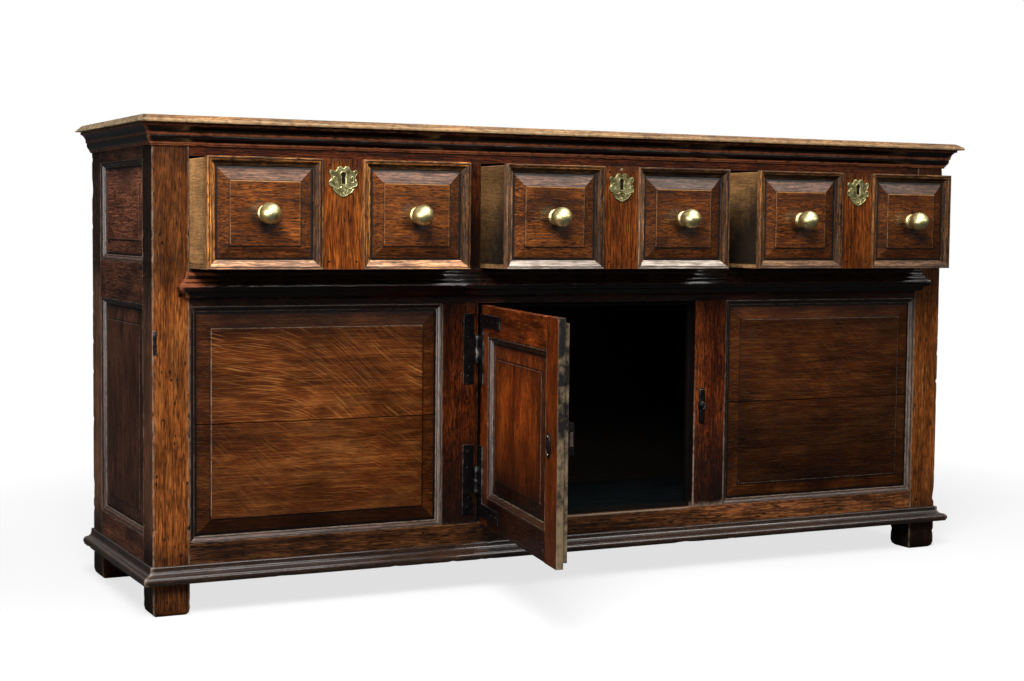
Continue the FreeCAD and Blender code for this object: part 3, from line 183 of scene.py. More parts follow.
class Wire:
    """A node's output, which can be reckoned with."""

    def __init__(self, tree, socket):
        self.tree, self.socket = tree, socket

    def math(self, operation, other=0.5):
        return self.tree.get("Math", 0, {0: self, 1: other}, operation=operation)

    def __add__(self, other):
        return self.math("ADD", other)

    def __sub__(self, other):
        return self.math("SUBTRACT", other)

    def __mul__(self, other):
        return self.math("MULTIPLY", other)

    def stretch(self, *scale):
        return self.tree.get("VectorMath", 0, {0: self, 1: scale}, operation="MULTIPLY")

    def shift(self, offset):
        return self.tree.get("VectorMath", 0, {0: self, 1: offset}, operation="ADD")

    def part(self, axis):
        return self.tree.get("SeparateXYZ", axis, {0: self})

    def noise(self, scale=1.0, detail=3.0, rough=0.55, output="Fac"):
        settings = {"Vector": self, "Scale": scale, "Detail": detail, "Roughness": rough}
        return self.tree.get("TexNoise", output, settings)

    def ramp(self, low, high, to_low=0.0, to_high=1.0):
        settings = {"Value": self, "From Min": low, "From Max": high, "To Min": to_low, "To Max": to_high}
        return self.tree.get("MapRange", 0, settings, interpolation_type="SMOOTHSTEP")

    def around_one(self, low, high, reach):
        return self.ramp(low, high, 1.0 - reach, 1.0 + reach)


class Tree:
    """Short calls for a node tree."""

    def __init__(self, tree):
        self.tree = tree

    def add(self, kind, inputs=None, **settings):
        node = self.tree.nodes.new("ShaderNode" + kind)
        for key, value in settings.items():
            setattr(node, key, value)
        for key, value in (inputs or {}).items():
            self.set(node, key, value)
        return node

    def get(self, kind, output=0, inputs=None, **settings):
        return Wire(self, self.add(kind, inputs, **settings).outputs[output])

    def set(self, node, key, value):
        if isinstance(value, Wire):
            self.tree.links.new(value.socket, node.inputs[key])
        else:
            node.inputs[key].default_value = value

    def mix(self, factor, first, second, blend="MIX"):
        return self.get("Mix", 2, {0: factor, 6: first, 7: second}, data_type="RGBA", blend_type=blend)

    def mark(self, name, output="Fac"):
        return self.get("Attribute", output, attribute_name=name)

    def place(self, kind="Object"):
        return self.get("TexCoord", kind)


def new_material(name):
    """An empty node material and its tree, with the surface shader in place."""
    material = bpy.data.materials.new(name)
    material.use_nodes = True
    material.node_tree.nodes.clear()
    tree = Tree(material.node_tree)
    shader = tree.add("BsdfPrincipled")
    tree.add("OutputMaterial", {0: Wire(tree, shader.outputs[0])})
    return material, tree, shader


def surface(tree, shader, tint, rough, height, relief, depth):
    """Join the colour, the roughness and the bump to the shader."""
    tree.set(shader, "Base Color", tint)
    tree.set(shader, "Roughness", rough)
    tree.set(shader, "Normal", tree.get("Bump", 0, {"Height": height, "Strength": relief, "Distance": depth}))


def grain_from_object(tree, along):
    """Grain coordinates of a piece that carries none: object coordinates, each board shifted."""
    place = tree.place()
    order = {"x": (0, 1, 2), "y": (1, 0, 2), "z": (2, 0, 1)}[along]
    turned = tree.get("CombineXYZ", 0, {index: place.part(axis) for index, axis in enumerate(order)})
    return turned.shift(tree.get("NewGeometry", "Random Per Island") * BOARD_SHIFT)


def silver_figure(tree, grain):
    """The slanting, swaying rays of quartered oak, in patches."""
    arch = (grain.part(0) * RAY_TURNS).math("SINE") * RAY_ARCH
    sway = grain.noise(5.0, 0.5, 0.5, "Color").stretch(0.03, 0.0, 0.03)
    swayed = grain.shift(sway).shift(tree.get("CombineXYZ", 0, {2: arch}))
    slant = tree.get("VectorRotate", 0, {"Vector": swayed, "Angle": RAY_SLANT}, rotation_type="Y_AXIS")
    fleck = slant.stretch(13, 40, 760).noise(1.0, 0.3, 0.4)
    return fleck.ramp(0.59, 0.68) * grain.noise(6.0, 2.0).ramp(0.32, 0.50)


def worm_holes(tree, grain, share):
    """Small round holes, in this share of the cells of a loose grid."""
    cells = tree.add("TexVoronoi", {"Vector": grain.stretch(70, 115, 115), "Scale": 1.0, "Randomness": 1.0})
    chance = tree.get("SeparateColor", 0, {0: Wire(tree, cells.outputs["Color"])})
    some = chance.math("GREATER_THAN", 1.0 - share)
    return Wire(tree, cells.outputs["Distance"]).ramp(0.30, 0.16) * some


def oak(name, deep, body, pale, worn=(150, 128, 108), rays=0.0, holes=0.0, stain=0.5, gloss=0.36, along=None,
        contrast=1.0, specular=0.5, warp=0.006, inside=None, run=100, mottle=0.3, relief=0.4, speckle=0.32,
        vary=0.0):
    """Old waxed oak; the grain runs along the piece, with wear and painted highlights on its edges and dirt and
    painted shade in its hollows.

    rays, holes and stain are the strength of the silver figure, the worm holes and the dark stains. warp is
    how far the grain strays and run how short its streaks are. mottle, speckle and vary are how much large
    patches, small specks and single back boards differ in shade. inside is the range of the normal's y over
    which the wood turns black as painted shade, for boards that are only lit from behind.
    """
    deep, body, pale, worn = (srgb(*colour) for colour in (deep, body, pale, worn))
    # Near black for dark stains and for painted shade.
    soot_and_shade = mixed(deep, BLACK, 0.6)
    material, tree, shader = new_material(name)
    grain = grain_from_object(tree, along) if along else tree.mark("grain", "Vector")
    wear_and_highlight, dirt_and_shade, tone, bare, figure = (tree.mark(mark) for mark in MARKS)

    cloud = grain.stretch(4, 11, 11).noise(1.0, 4.0, 0.6)
    bend = grain.stretch(5, 9, 9).noise(1.0, 2.0, 0.5, "Color")
    warped = grain.shift(bend.stretch(0, warp, warp))
    bands = warped.stretch(1.8, 62, 62).noise(1.0, 3.0, 0.6)
    lines = warped.stretch(0.2 * run, 400, 400).noise(1.0, 1.0, 0.5)
    pores = warped.stretch(run, 640, 640).noise(1.0, 0.5, 0.5)
    blotch = bands * 0.45 + cloud * 0.55
    tint = tree.mix(blotch.ramp(0.38, 0.50), mixed(deep, body, 0.5), body)
    tint = tree.mix(blotch.ramp(0.50, 0.62) * (0.5 * contrast), tint, pale)
    tint = tree.mix(lines.ramp(0.48, 0.34) * (0.6 * contrast), tint, deep)
    tint = tree.mix(lines.ramp(0.53, 0.66) * (0.55 * contrast), tint, pale)
    tint = tree.mix(pores.ramp(0.47, 0.34) * (0.85 * contrast), tint, mixed(deep, BLACK, 0.5))
    if rays:
        tint = tree.mix(silver_figure(tree, grain) * figure * rays, tint, pale)
    stains = grain.stretch(7, 15, 15).noise(1.0, 6.0, 0.62).ramp(0.54, 0.70)
    tint = tree.mix(stains * stain, tint, soot_and_shade)
    if holes:
        tint = tree.mix(worm_holes(tree, grain, holes) * 0.9, tint, BLACK)
    # Above nought: dust and painted sheen; below it: painted shade.
    bloom = tree.mark("bloom")
    tint = tree.mix(bloom.ramp(0.0, -1.0) * 0.9, tint, soot_and_shade)
    tint = tree.mix(bloom.ramp(0.0, 1.0) * lines.ramp(0.30, 0.60, 0.45, 0.95), tint, DUST_AND_SHEEN)

    shade = tone * 0.45 + 1.0
    shade = shade * grain.stretch(9, 17, 17).noise(1.0, 4.0, 0.6).around_one(0.32, 0.68, mottle)
    shade = shade * warped.stretch(48, 330, 330).noise(1.0, 2.0, 0.6).around_one(0.34, 0.66, speckle)
    if vary:
        number = (tree.place().part(0) - BACK_LOW.x).math("DIVIDE", BACK_PITCH).math("FLOOR")
        board = tree.get("TexWhiteNoise", "Value", {"W": number}, noise_dimensions="1D")
        shade = shade * board.around_one(0.0, 1.0, vary)
    tint = tree.mix(1.0, tint, tree.get("CombineColor", 0, {0: shade, 1: shade, 2: shade}), "MULTIPLY")
    grime = grain.noise(70.0, 5.0, 0.65)
    raw_light = grain.noise(34.0, 5.0, 0.65) + (bare - 1.0)
    raw = tree.mix(raw_light.ramp(0.36, 0.66), srgb(18, 18, 18), srgb(126, 106, 80))
    tint = tree.mix(bare.ramp(0.0, 0.6), tint, raw)
    # Dark with dirt, and with painted shade laid in through the dirt mark.
    in_hollow = (dirt_and_shade * bare.ramp(0.9, 0.0) + grime * 0.5).ramp(0.30, 1.15)
    tint = tree.mix(in_hollow * 0.96, tint, BLACK)
    # Pale on worn edges, and where highlights are painted in through the wear mark.
    paled = (wear_and_highlight * grime.ramp(0.25, 0.75, 0.5, 1.6)).ramp(0.15, 1.0)
    tint = tree.mix(paled * 0.75, tint, worn)
    # Painted shade: black on the faces that look into the case.
    if inside:
        tint = tree.mix(tree.place("Normal").part(1).ramp(*inside), tint, mixed(deep, BLACK, 0.9))

    rough = lines.ramp(0.3, 0.7, gloss + 0.08, gloss - 0.05) + in_hollow * 0.12 + bare * 0.35
    height = lines * 0.6 + pores.ramp(0.34, 0.46) * 0.6 + cloud * 1.6
    surface(tree, shader, tint, rough, height, relief, WOOD_BUMP)
    tree.set(shader, "Specular IOR Level", specular)
    return material


def iron(name, black, brown):
    """Blackened wrought iron, browner and rougher in patches."""
    material, tree, shader = new_material(name)
    patch = tree.place().noise(60.0, 5.0, 0.65)
    pits = tree.place().noise(420.0)
    tint = tree.mix(patch.ramp(0.4, 0.7), srgb(*black), srgb(*brown))
    # Pale where worn, and along plate rims where glints are painted.
    rub = (tree.mark("wear_and_highlight") + patch).ramp(1.0, 1.5)
    tint = tree.mix(rub * 0.9, tint, srgb(176, 174, 172))
    surface(tree, shader, tint, pits.ramp(0.3, 0.7, 0.32, 0.55), patch + pits * 0.5, 0.4, IRON_BUMP)
    tree.set(shader, "Metallic", 0.85)
    return material


def brass(name, bright, dull, tarnish, smooth):
    """Old brass: bright where it is rubbed, brown in its hollows."""
    material, tree, shader = new_material(name)
    patch = tree.place().noise(90.0, 4.0, 0.6)
    fine = tree.place().noise(900.0, 2.0)
    tint = tree.mix(patch.ramp(0.42, 0.68), srgb(*bright), srgb(*dull))
    dirt_and_shade = (tree.mark("dirt_and_shade") + patch * 0.4).ramp(0.45, 1.05)
    tint = tree.mix(dirt_and_shade, tint, srgb(*tarnish))
    rough = fine.ramp(0.3, 0.7, smooth, smooth + 0.1) + dirt_and_shade * 0.3
    surface(tree, shader, tint, rough, patch + fine * 0.3, 0.12, BRASS_BUMP)
    tree.set(shader, "Metallic", 1.0)
    return material


# Shapes

def arc_points(start, end, radius, count):
    """Points after start up to end on a curve; a positive radius swells on a left-hand round."""
    if not radius:
        return [end]
    (x0, y0), (x1, y1) = start, end
    span = math.hypot(x1 - x0, y1 - y0)
    rise = math.sqrt(max(radius * radius - span * span / 4, 0.0))
    side = 1 if radius > 0 else -1
    centre_x = (x0 + x1) / 2 - (y1 - y0) / span * rise * side
    centre_y = (y0 + y1) / 2 + (x1 - x0) / span * rise * side
    first = math.atan2(y0 - centre_y, x0 - centre_x)
    sweep_angle = math.atan2(y1 - centre_y, x1 - centre_x) - first
    sweep_angle = (sweep_angle + math.pi) % (2 * math.pi) - math.pi
    size = abs(radius)
    return [(centre_x + size * math.cos(first + sweep_angle * step / count),
             centre_y + size * math.sin(first + sweep_angle * step / count)) for step in range(1, count + 1)]


def trace(corners, count=6, closed=True):
    """Corners with optional radii as a run of points."""
    points = [tuple(corners[0][:2])]
    for corner in corners[1:]:
        points.extend(arc_points(points[-1], corner[:2], corner[2] if len(corner) > 2 else 0, count))
    if closed and len(corners[0]) > 2:
        points.extend(arc_points(points[-1], corners[0][:2], corners[0][2], count)[:-1])
    return points


def eased(points, radius):
    """Take the sharpness off a closed left-hand outline; gives (x, y, wear, dirt) rows, the dirt standing also
    for painted shade where it turns in.
    """
    rows = []
    for index, point in enumerate(points):
        before, after = Vector(points[index - 1]), Vector(points[(index + 1) % len(points)])
        here = Vector(point)
        back, on = before - here, after - here
        if back.length < 1e-9 or on.length < 1e-9:
            continue
        turn = math.atan2((-back).x * on.y - (-back).y * on.x, (-back).dot(on))
        if turn > 0.4:
            reach = min(radius, 0.4 * back.length, 0.4 * on.length)
            ends = here + back.normalized() * reach, here + on.normalized() * reach
            middle = (ends[0] + ends[1]) / 4 + here / 2
            wear_and_highlight = min(1.0, turn / 1.2)
            rows.extend((*spot, wear_and_highlight, 0.0) for spot in (ends[0], middle, ends[1]))
        elif turn < -0.4:
            rows.append((*here, 0.0, min(1.0, -turn / 1.2)))
        else:
            rows.append((*here, 0.0, 0.0))
    return rows


def profile_rows(corners):
    """A moulding profile as (across, out, wear, dirt) rows in metres; the dirt in its hollows is also painted
    shade.
    """
    flat = [(-corner[0] * MM, -corner[1] * MM, *(part * MM for part in corner[2:])) for corner in corners]
    rows = np.array([(-across, -out, wear_and_highlight, dirt_and_shade) for out, across, wear_and_highlight, dirt_and_shade in eased(trace(flat), ARRIS)])
    apart = np.linalg.norm(rows[:, None, :2] - rows[None, :, :2], axis=2)
    # Spread the darkness of the hollows: dirt and painted shade in the grooves.
    rows[:, 3] = (rows[:, 3] * np.exp(-(apart / GROOVE_DIRT_AND_SHADE) ** 2)).max(1)
    return [tuple(row) for row in rows.tolist()]


def plank_rows(wide, thick, radius):
    """A board's section from (0, 0) to (wide, thick), its four edges eased and worn."""
    rows = []
    near = min(0.012, 0.3 * wide, 0.3 * thick)
    steps = ((near, 0.0), (0.3 * near + 0.7 * radius, 0.25))
    for x, y, start in ((wide, 0.0, -90), (wide, thick, 0), (0.0, thick, 90), (0.0, 0.0, 180)):
        out_x, out_y = (1 if x else -1), (1 if y else -1)
        upright = start in (0, 180)
        for reach, wear_and_highlight in steps:
            rows.append((x - out_x * reach * (not upright), y - out_y * reach * upright, wear_and_highlight, 0.0))
        for step in range(4):
            angle = math.radians(start + 30 * step)
            rows.append((x - out_x * radius + radius * math.cos(angle),
                         y - out_y * radius + radius * math.sin(angle), 1.0, 0.0))
        for reach, wear_and_highlight in steps[::-1]:
            rows.append((x - out_x * reach * upright, y - out_y * reach * (not upright), wear_and_highlight, 0.0))
    return rows


def wander(places, wavelength, seed):
    """Smooth noise from 0 to 1 along an array of places, in metres."""
    steps = (places - places.min()) / wavelength
    knots = np.random.default_rng(seed).random(int(steps.max()) + 3)
    whole = steps.astype(int)
    part = steps - whole
    part = part * part * (3 - 2 * part)
    return knots[whole] * (1 - part) + knots[whole + 1] * part


def axes(origin, along, across, out):
    """A placing matrix whose local x, y and z run along the three given directions."""
    columns = [Vector(direction) for direction in (along, across, out)]
    matrix = Matrix.Identity(4)
    for column, direction in enumerate(columns):
        for row in range(3):
            matrix[row][column] = direction[row]
    matrix.translation = Vector(origin)
    return matrix


X, Y, Z = Vector((1, 0, 0)), Vector((0, 1, 0)), Vector((0, 0, 1))


def face_on(spot):
    """Local axes on a front face: x to the right, y up, z out."""
    return axes(spot, X, Z, -Y)


def ring_faces(rings, size, closed=True):
    """Faces between rings of points, with a cap on the first ring and, where closed, on the last."""
    faces = [[ring * size + index, ring * size + (index + 1) % size, (ring + 1) * size + (index + 1) % size,
              (ring + 1) * size + index] for ring in range(rings - 1) for index in range(size)]
    faces.append(list(range(size))[::-1])
    if closed:
        faces.append(list(range((rings - 1) * size, rings * size)))
    return faces


class Build:
    """Gathers surfaces with their grain, wear and painted highlights, dirt and painted shade, and tone, and
    makes one mesh piece of them.
    """

    def __init__(self, seed):
        self.points, self.grain, self.marks, self.faces, self.bloom = [], [], [], [], []
        self.count = 0
        self.seed = seed
        self.draw = np.random.default_rng(seed)

    def next_seed(self):
        self.seed += 17
        return self.seed

    def add(self, place, local, faces, wear_and_highlight=0.0, dirt_and_shade=0.0, tone=0.0, grain=None, bare=0.0, bloom=0.0,
            rays=0.0):
        """Local points, faces and marks; the grain runs along local x unless it is given.

        bloom belongs to the faces: above zero they are dusty with painted sheen, below it they are dark with
        painted shade.
        """
        turn = np.array(place)
        self.points.append(local @ turn[:3, :3].T + turn[:3, 3])
        offset = self.draw.uniform(-9, 9, 3)
        self.grain.append((local if grain is None else grain) + offset)
        marks = (wear_and_highlight, dirt_and_shade, tone, bare, rays)
        self.marks.append(np.stack([np.broadcast_to(mark, len(local)) for mark in marks], 1))
        self.faces.extend([[index + self.count for index in face] for face in faces])
        self.bloom.append(np.broadcast_to(bloom, len(faces)))
        self.count += len(local)

    def piece(self, node, body, slot, material, smooth=None, name=None):
        """Make the mesh object that stands for a CAD node."""
        metal = slot in ("iron", "brass")
        name = name or "%s_%s" % (node, slot if metal else "oak")
        smooth = smooth or (METAL_SMOOTH if metal else WOOD_SMOOTH)
        mesh = bpy.data.meshes.new(name)
        mesh.from_pydata(np.concatenate(self.points).tolist(), [], self.faces)
        marks = np.concatenate(self.marks)
        vector = mesh.attributes.new("grain", "FLOAT_VECTOR", "POINT")
        vector.data.foreach_set("vector", np.concatenate(self.grain).astype(np.float32).ravel())
        for column, mark in enumerate(MARKS):
            layer = mesh.attributes.new(mark, "FLOAT", "POINT")
            layer.data.foreach_set("value", np.ascontiguousarray(marks[:, column], dtype=np.float32))
        layer = mesh.attributes.new("bloom", "FLOAT", "FACE")
        layer.data.foreach_set("value", np.concatenate(self.bloom).astype(np.float32))
        shaped = bmesh.new()
        shaped.from_mesh(mesh)
        bmesh.ops.recalc_face_normals(shaped, faces=shaped.faces)
        shaped.to_mesh(mesh)
        shaped.free()
        mesh.polygons.foreach_set("use_smooth", [True] * len(mesh.polygons))
        mesh.set_sharp_from_angle(angle=math.radians(smooth))
        mesh.materials.append(material)
        made = bpy.data.objects.new(name, mesh)
        bpy.context.scene.collection.objects.link(made)
        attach(made, body)
        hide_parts(node)
        return made


def along_piece(value, places):
    """A number, or (place, number) pairs read off at each place along a piece."""
    return np.interp(places, *zip(*value)) if isinstance(value, tuple) else value


def sweep(build, place, rows, start, end, step, chip, tone=0.0, worn_ends=None, rub=1.0, soil_and_shade=0.0, bare=0.0,
          bloom=0.0):
    """Run a section along local x from start to end, which may differ for each row of the section.

    rub is how pale its edges are, from wear and painted light, and soil how dark it is, from dirt and painted
    shade; these and the tone can be pairs of a place along it and a number. bare and bloom, the dust and
    painted light, can differ for each row of the section.
    """
    section = np.array(rows, float)
    across, out, wear_and_highlight, dirt_and_shade = section.T
    start = np.broadcast_to(start, len(rows))
    end = np.broadcast_to(end, len(rows))
    count = max(2, int(math.ceil((end.max() - start.min()) / step)) + 1)
    share = np.linspace(0, 1, count)
    length = float(end.max() - start.min())
    if worn_ends:
        places, insets = (np.array(column) for column in zip(*worn_ends))
        share = np.unique(np.concatenate([share, places / length]))
        count = len(share)
    along = start + (end - start) * share[:, None]
    centre = section[:, :2].mean(0)
    inward = centre - section[:, :2]
    inward /= np.maximum(np.linalg.norm(inward, axis=1, keepdims=True), 1e-9)
    seed = build.next_seed()
    bite = chip * wear_and_highlight * (0.2 * wander(along, 0.08, seed) ** 2 + 2.2 * wander(along, 0.012, seed + 1) ** 11)
    local = np.stack([along, across + inward[:, 0] * bite, out + inward[:, 1] * bite], -1)
    if worn_ends:
        inset = np.interp(share * length, places, insets)[:, None]
        for axis in (0, 1):
            low, high = section[:, axis].min(), section[:, axis].max()
            local[..., axis + 1] += inset * np.interp(section[:, axis], (low, high), (1, -1))
    size = len(rows)
    flat = local.reshape(-1, 3)
    ends = np.minimum(share, 1 - share) * length
    ends_wear = np.repeat(np.where(ends < 1e-6, END_WEAR, 0.0), size)
    darkened = np.tile(dirt_and_shade, count) + along_piece(soil_and_shade, flat[:, 0])
    paled = along_piece(rub, flat[:, 0]) * np.maximum(np.tile(wear_and_highlight, count), ends_wear)
    raw = np.tile(np.broadcast_to(bare, size), count) * (1.08 - 0.2 * np.repeat(share, size))
    dust_and_light = np.append(np.tile(np.broadcast_to(bloom, size), count - 1), (0.0, 0.0))
    build.add(place, flat, ring_faces(count, size), paled, darkened, along_piece(tone, flat[:, 0]), bare=raw,
              bloom=dust_and_light)


def plank(build, low, high, along, radius, chip, tone=0.0, place=None, worn_ends=None, step=0.015, rub=0.3,
          soil_and_shade=0.0, bare_side=False, dark_sides=(0.0, 0.0), across_shade=(0.0, 0.0), side_dust_and_sheen=0.0):
    """A board between two corners, its grain along one axis.

    A bare side is unpolished wood; dark_sides darken its near and far side, across_shade is painted shade that
    grows over its face from one side to the other, and side_dust_and_sheen is dust and painted sheen on both
    sides.
    """
    low, high = Vector(low), Vector(high)
    size = high - low
    order = {"x": (0, 1, 2), "y": (1, 2, 0), "z": (2, 0, 1)}[along]
    matrix = axes(low, *((X, Y, Z)[axis] for axis in order))
    if place is not None:
        matrix = place @ matrix
    wide, edge = size[order[1]], 0.3 * radius
    rows, bare, beside = [], [], []
    for across, out, wear_and_highlight, dirt_and_shade in plank_rows(wide, size[order[2]], radius):
        dirt_and_shade += dark_sides[0] * (across < edge) + dark_sides[1] * (across > wide - edge)
        dirt_and_shade += across_shade[0] + (across_shade[1] - across_shade[0]) * across / wide
        rows.append((across, out, wear_and_highlight, dirt_and_shade))
        bare.append(float(bare_side and across > wide - edge))
        beside.append(abs(across - 0.5 * wide) > 0.5 * wide - edge)
    dust_and_light_here = [side_dust_and_sheen * (this and after) for this, after in zip(beside, beside[1:] + beside[:1])]
    sweep(build, matrix, rows, 0.0, size[order[0]], step, chip, tone, worn_ends, rub, soil_and_shade, bare, dust_and_light_here)


def mitred_frame(build, place, corners, wide, high, chip, painted_light_by_side, rub, blooms=EVEN, inner=EVEN):
    """Four lengths of moulding round the inside of a rectangle that starts at the local origin.

    The tones, which are painted light, the dust and painted light, and the painted shade on the inner half are
    those of the lower, upper, left and right length. The innermost edge is darkened all round as painted
    shadow.
    """
    rows = profile_rows(corners)
    across = np.array([row[0] for row in rows])
    widest = across.max()
    # Painted shadow along the inner edge, where the moulding stands over the panel.
    rows = [(part, out, wear_and_highlight, max(dirt_and_shade, 0.7 * (part > 0.93 * widest))) for part, out, wear_and_highlight, dirt_and_shade in rows]
    sides = (((0, 0, 0), X, Z, wide), ((0, 0, high), X, -Z, wide), ((0, 0, 0), Z, X, high),
             ((wide, 0, 0), Z, -X, high))
    for (origin, along, inward, length), tone, bloom, shadow in zip(sides, painted_light_by_side, blooms, inner):
        vary = float(build.draw.uniform(-0.15, 0.15))
        # Painted shade over the inner half of the length.
        dark = [(part, out, wear_and_highlight, dirt_and_shade + shadow * (part > 0.45 * widest)) for part, out, wear_and_highlight, dirt_and_shade in rows]
        sweep(build, place @ axes(origin, along, inward, -Y), dark, across, length - across, step=0.012,
              chip=chip, tone=tone + vary, rub=rub, bloom=bloom)


def fielded(build, place, wide, high, bevel, rise, slab, tongue, seams=(), tone=0.0, halo=None, cell=0.012,
            shade=0.25, blooms=EVEN, rubs=(0.35, 0.35, 0.35, 0.35), fade=(0.0, 0.0), rays=(0.0,),
            glow=(0.5, 0.5, 1.0, 0.0), bevel_light=EVEN):
    """A panel with a raised field: local x along the grain, y towards the back, z across the grain.

    A seam is (z, half width, depth, wander): the line where two boards meet, or a crack. halo is the middle
    of a dark ring, as round a knob, darker below it as painted shadow. The wood darkens by shade towards the
    edge of the field. blooms are the dust and painted light on the bevels at low z, far x, high z and low x,
    rubs is how pale the field's edge is there, from wear and painted highlight, fade how much lighter the wood
    is at far x and at high z, and rays how much silver figure each board has. glow is a painted pool of light:
    its middle and reach as shares of the panel, and its strength. lift is how much lighter each bevel is, as
    painted light.
    """
    low, top = bevel, high - bevel
    x_lines = np.linspace(bevel, wide - bevel, max(3, int((wide - 2 * bevel) / cell)))
    z_lines = set(np.linspace(low, top, max(3, int((top - low) / cell))).tolist())
    for z, half, depth, roam in seams:
        z_lines = {line for line in z_lines if abs(line - z) > 3 * half}
        z_lines |= {z - half, z, z + half}
    z_lines = np.array(sorted(z_lines))
    nx, nz = len(x_lines), len(z_lines)
    border = [(i, 0) for i in range(nx - 1)] + [(nx - 1, j) for j in range(nz - 1)]
    border += [(i, nz - 1) for i in range(nx - 1, 0, -1)] + [(0, j) for j in range(nz - 1, 0, -1)]
    edge_x = np.array([x_lines[i] for i, j in border])
    edge_z = np.array([z_lines[j] for i, j in border])
    # Rings from the groove to the field: inset, depth, wear with painted highlight on the field's edge, and
    # dirt with painted shade next to the moulding and under the step.
    rings = ((-tongue, slab, 0, 0), (-tongue, 0, 0, 0.6), (0, 0, 0, 1.6), (0.0018, -0.06 * rise, 0, 1.1),
             (0.005, -0.17 * rise, 0, 0.3), (0.5 * bevel, -0.5 * rise, 0, 0),
             (bevel - 0.003, -0.9 * rise, 0, 0.2), (bevel - 0.0004, -rise, 0, 1.0),
             (bevel, -rise - 0.6 * FIELD_STEP, 1.0, 0),
             (bevel + 0.0008, -rise - FIELD_STEP, 1.1, 0), (bevel + 0.0024, -rise - FIELD_STEP, 0, 0))
    sides = (nx - 1, nz - 1, nx - 1, nz - 1)
    # Pale field edges from wear and painted highlight; painted shadow under and to the right of the step.
    pale_edge = np.repeat(rubs, sides)
    step_shadow = np.repeat((1.5, 1.1, 0.4, 0.6), sides)
    points, wear_and_highlight, dirt_and_shade = [], [], []
    for inset, depth, paled, darkened in rings:
        x = np.where(edge_x <= bevel, inset, np.where(edge_x >= wide - bevel, wide - inset, edge_x))
        z = np.where(edge_z <= low, inset, np.where(edge_z >= top, high - inset, edge_z))
        points.append(np.stack([x, np.full_like(x, depth), z], 1))
        wear_and_highlight.append(paled * pale_edge)
        dirt_and_shade.append(darkened * (step_shadow if inset > 0.6 * bevel else 1.0) * np.ones(len(x)))
    size = len(border)
    faces = ring_faces(len(rings), size, closed=False)
    around = np.repeat(blooms, sides)
    dust_and_light_here = [1 < ring < len(rings) - 4 for ring in range(len(rings) - 1)]
    bloom = [around[index] * there for there in dust_and_light_here for index in range(size)]
    inner = [(i, j) for i in range(1, nx - 1) for j in range(1, nz - 1)]
    number = {spot: (len(rings) - 1) * size + index for index, spot in enumerate(border)}
    number.update({spot: len(rings) * size + index for index, spot in enumerate(inner)})
    face_depth = -rise - FIELD_STEP
    points.append(np.array([(x_lines[i], face_depth, z_lines[j]) for i, j in inner]))
    wear_and_highlight.append(np.zeros(len(inner)))
    dirt_and_shade.append(np.zeros(len(inner)))
    faces.extend([number[i, j], number[i + 1, j], number[i + 1, j + 1], number[i, j + 1]]
                 for i in range(nx - 1) for j in range(nz - 1))
    local, wear_and_highlight, dirt_and_shade = np.concatenate(points), np.concatenate(wear_and_highlight), np.concatenate(dirt_and_shade)
    board = np.zeros(len(local))
    for z, half, depth, roam in seams:
        near = np.abs(local[:, 2] - z)
        middle = near < 0.3 * half
        front = local[:, 1] < 0.5 * slab
        local[middle & front, 1] += depth
        dirt_and_shade[middle] = 2.0
        board[local[:, 2] > z + 0.3 * half] += 1
        moved = near < 1.3 * half
        local[moved, 2] += roam * (wander(local[:, 0], 0.05, build.next_seed())[moved] - 0.5)
    if halo is not None:
        away = np.hypot(local[:, 0] - halo[0], local[:, 2] - halo[1])
        # Darker below the knob: painted shadow.
        shadow_side = 0.7 + 0.3 * np.clip((halo[1] - local[:, 2]) / np.maximum(away, 0.001), -1, 1)
        dirt_and_shade = np.maximum(dirt_and_shade, 0.75 * shadow_side * np.exp(-((away - 0.023) / 0.011) ** 2))
    to_edge = np.minimum(np.minimum(local[:, 0], wide - local[:, 0]),
                         np.minimum(local[:, 2], high - local[:, 2])) - bevel
    dirt_and_shade = dirt_and_shade + shade * np.clip(1 - to_edge / (0.22 * min(wide, high)), 0, 1) ** 2 * (to_edge > -0.0005)
    grain = local + np.stack([board * 3.1, board * 0.7, board * 1.9], 1)
    shades = build.draw.uniform(-0.12, 0.12, len(seams) + 1)
    bloom += [0.0] * (len(faces) - len(bloom))
    across, up = local[:, 0] / wide, local[:, 2] / high
    tone = tone + fade[0] * (across - 0.5) + fade[1] * (up - 0.5)
    # A painted pool of light.
    tone = tone + glow[3] * np.exp(-((across - glow[0]) ** 2 + (up - glow[1]) ** 2) / glow[2] ** 2)
    # Painted light on each bevel.
    on_bevel = np.repeat([float(1 < ring < len(rings) - 3) for ring in range(len(rings))], size)
    tone[:len(on_bevel)] += on_bevel * np.tile(np.repeat(bevel_light, sides), len(rings))
    board = board.astype(int)
    figure = np.resize(rays, 3)[board] * (to_edge > -0.0005)
    build.add(place, local, faces, wear_and_highlight, dirt_and_shade, tone + shades[board], grain, 0.0, bloom, figure)


def case_panel(build, place, wide, high, **look):
    """A panel of the case or the door, with its edge hidden in the groove."""
    fielded(build, place, wide, high, PANEL_BEVEL, PANEL_RISE, PANEL_SLAB, PANEL_HIDDEN, **look)


def lathe(build, place, profile, segments, dirt_and_shade=0.0, wear_and_highlight=0.0):
    """Turn (radius, height) points about local z; each point can have its own dirt and wear."""
    angles = np.linspace(0, 2 * math.pi, segments, endpoint=False)
    radius = np.array([max(point[0], 0.0) for point in profile])
    height = np.array([point[1] for point in profile])
    local = np.stack([np.outer(radius, np.cos(angles)), np.outer(radius, np.sin(angles)),
                      np.outer(height, np.ones(segments))], -1).reshape(-1, 3)
    darkened, paled = (np.repeat(np.broadcast_to(mark, len(profile)), segments) for mark in (dirt_and_shade, wear_and_highlight))
    build.add(place, local, ring_faces(len(profile), segments), paled, darkened)


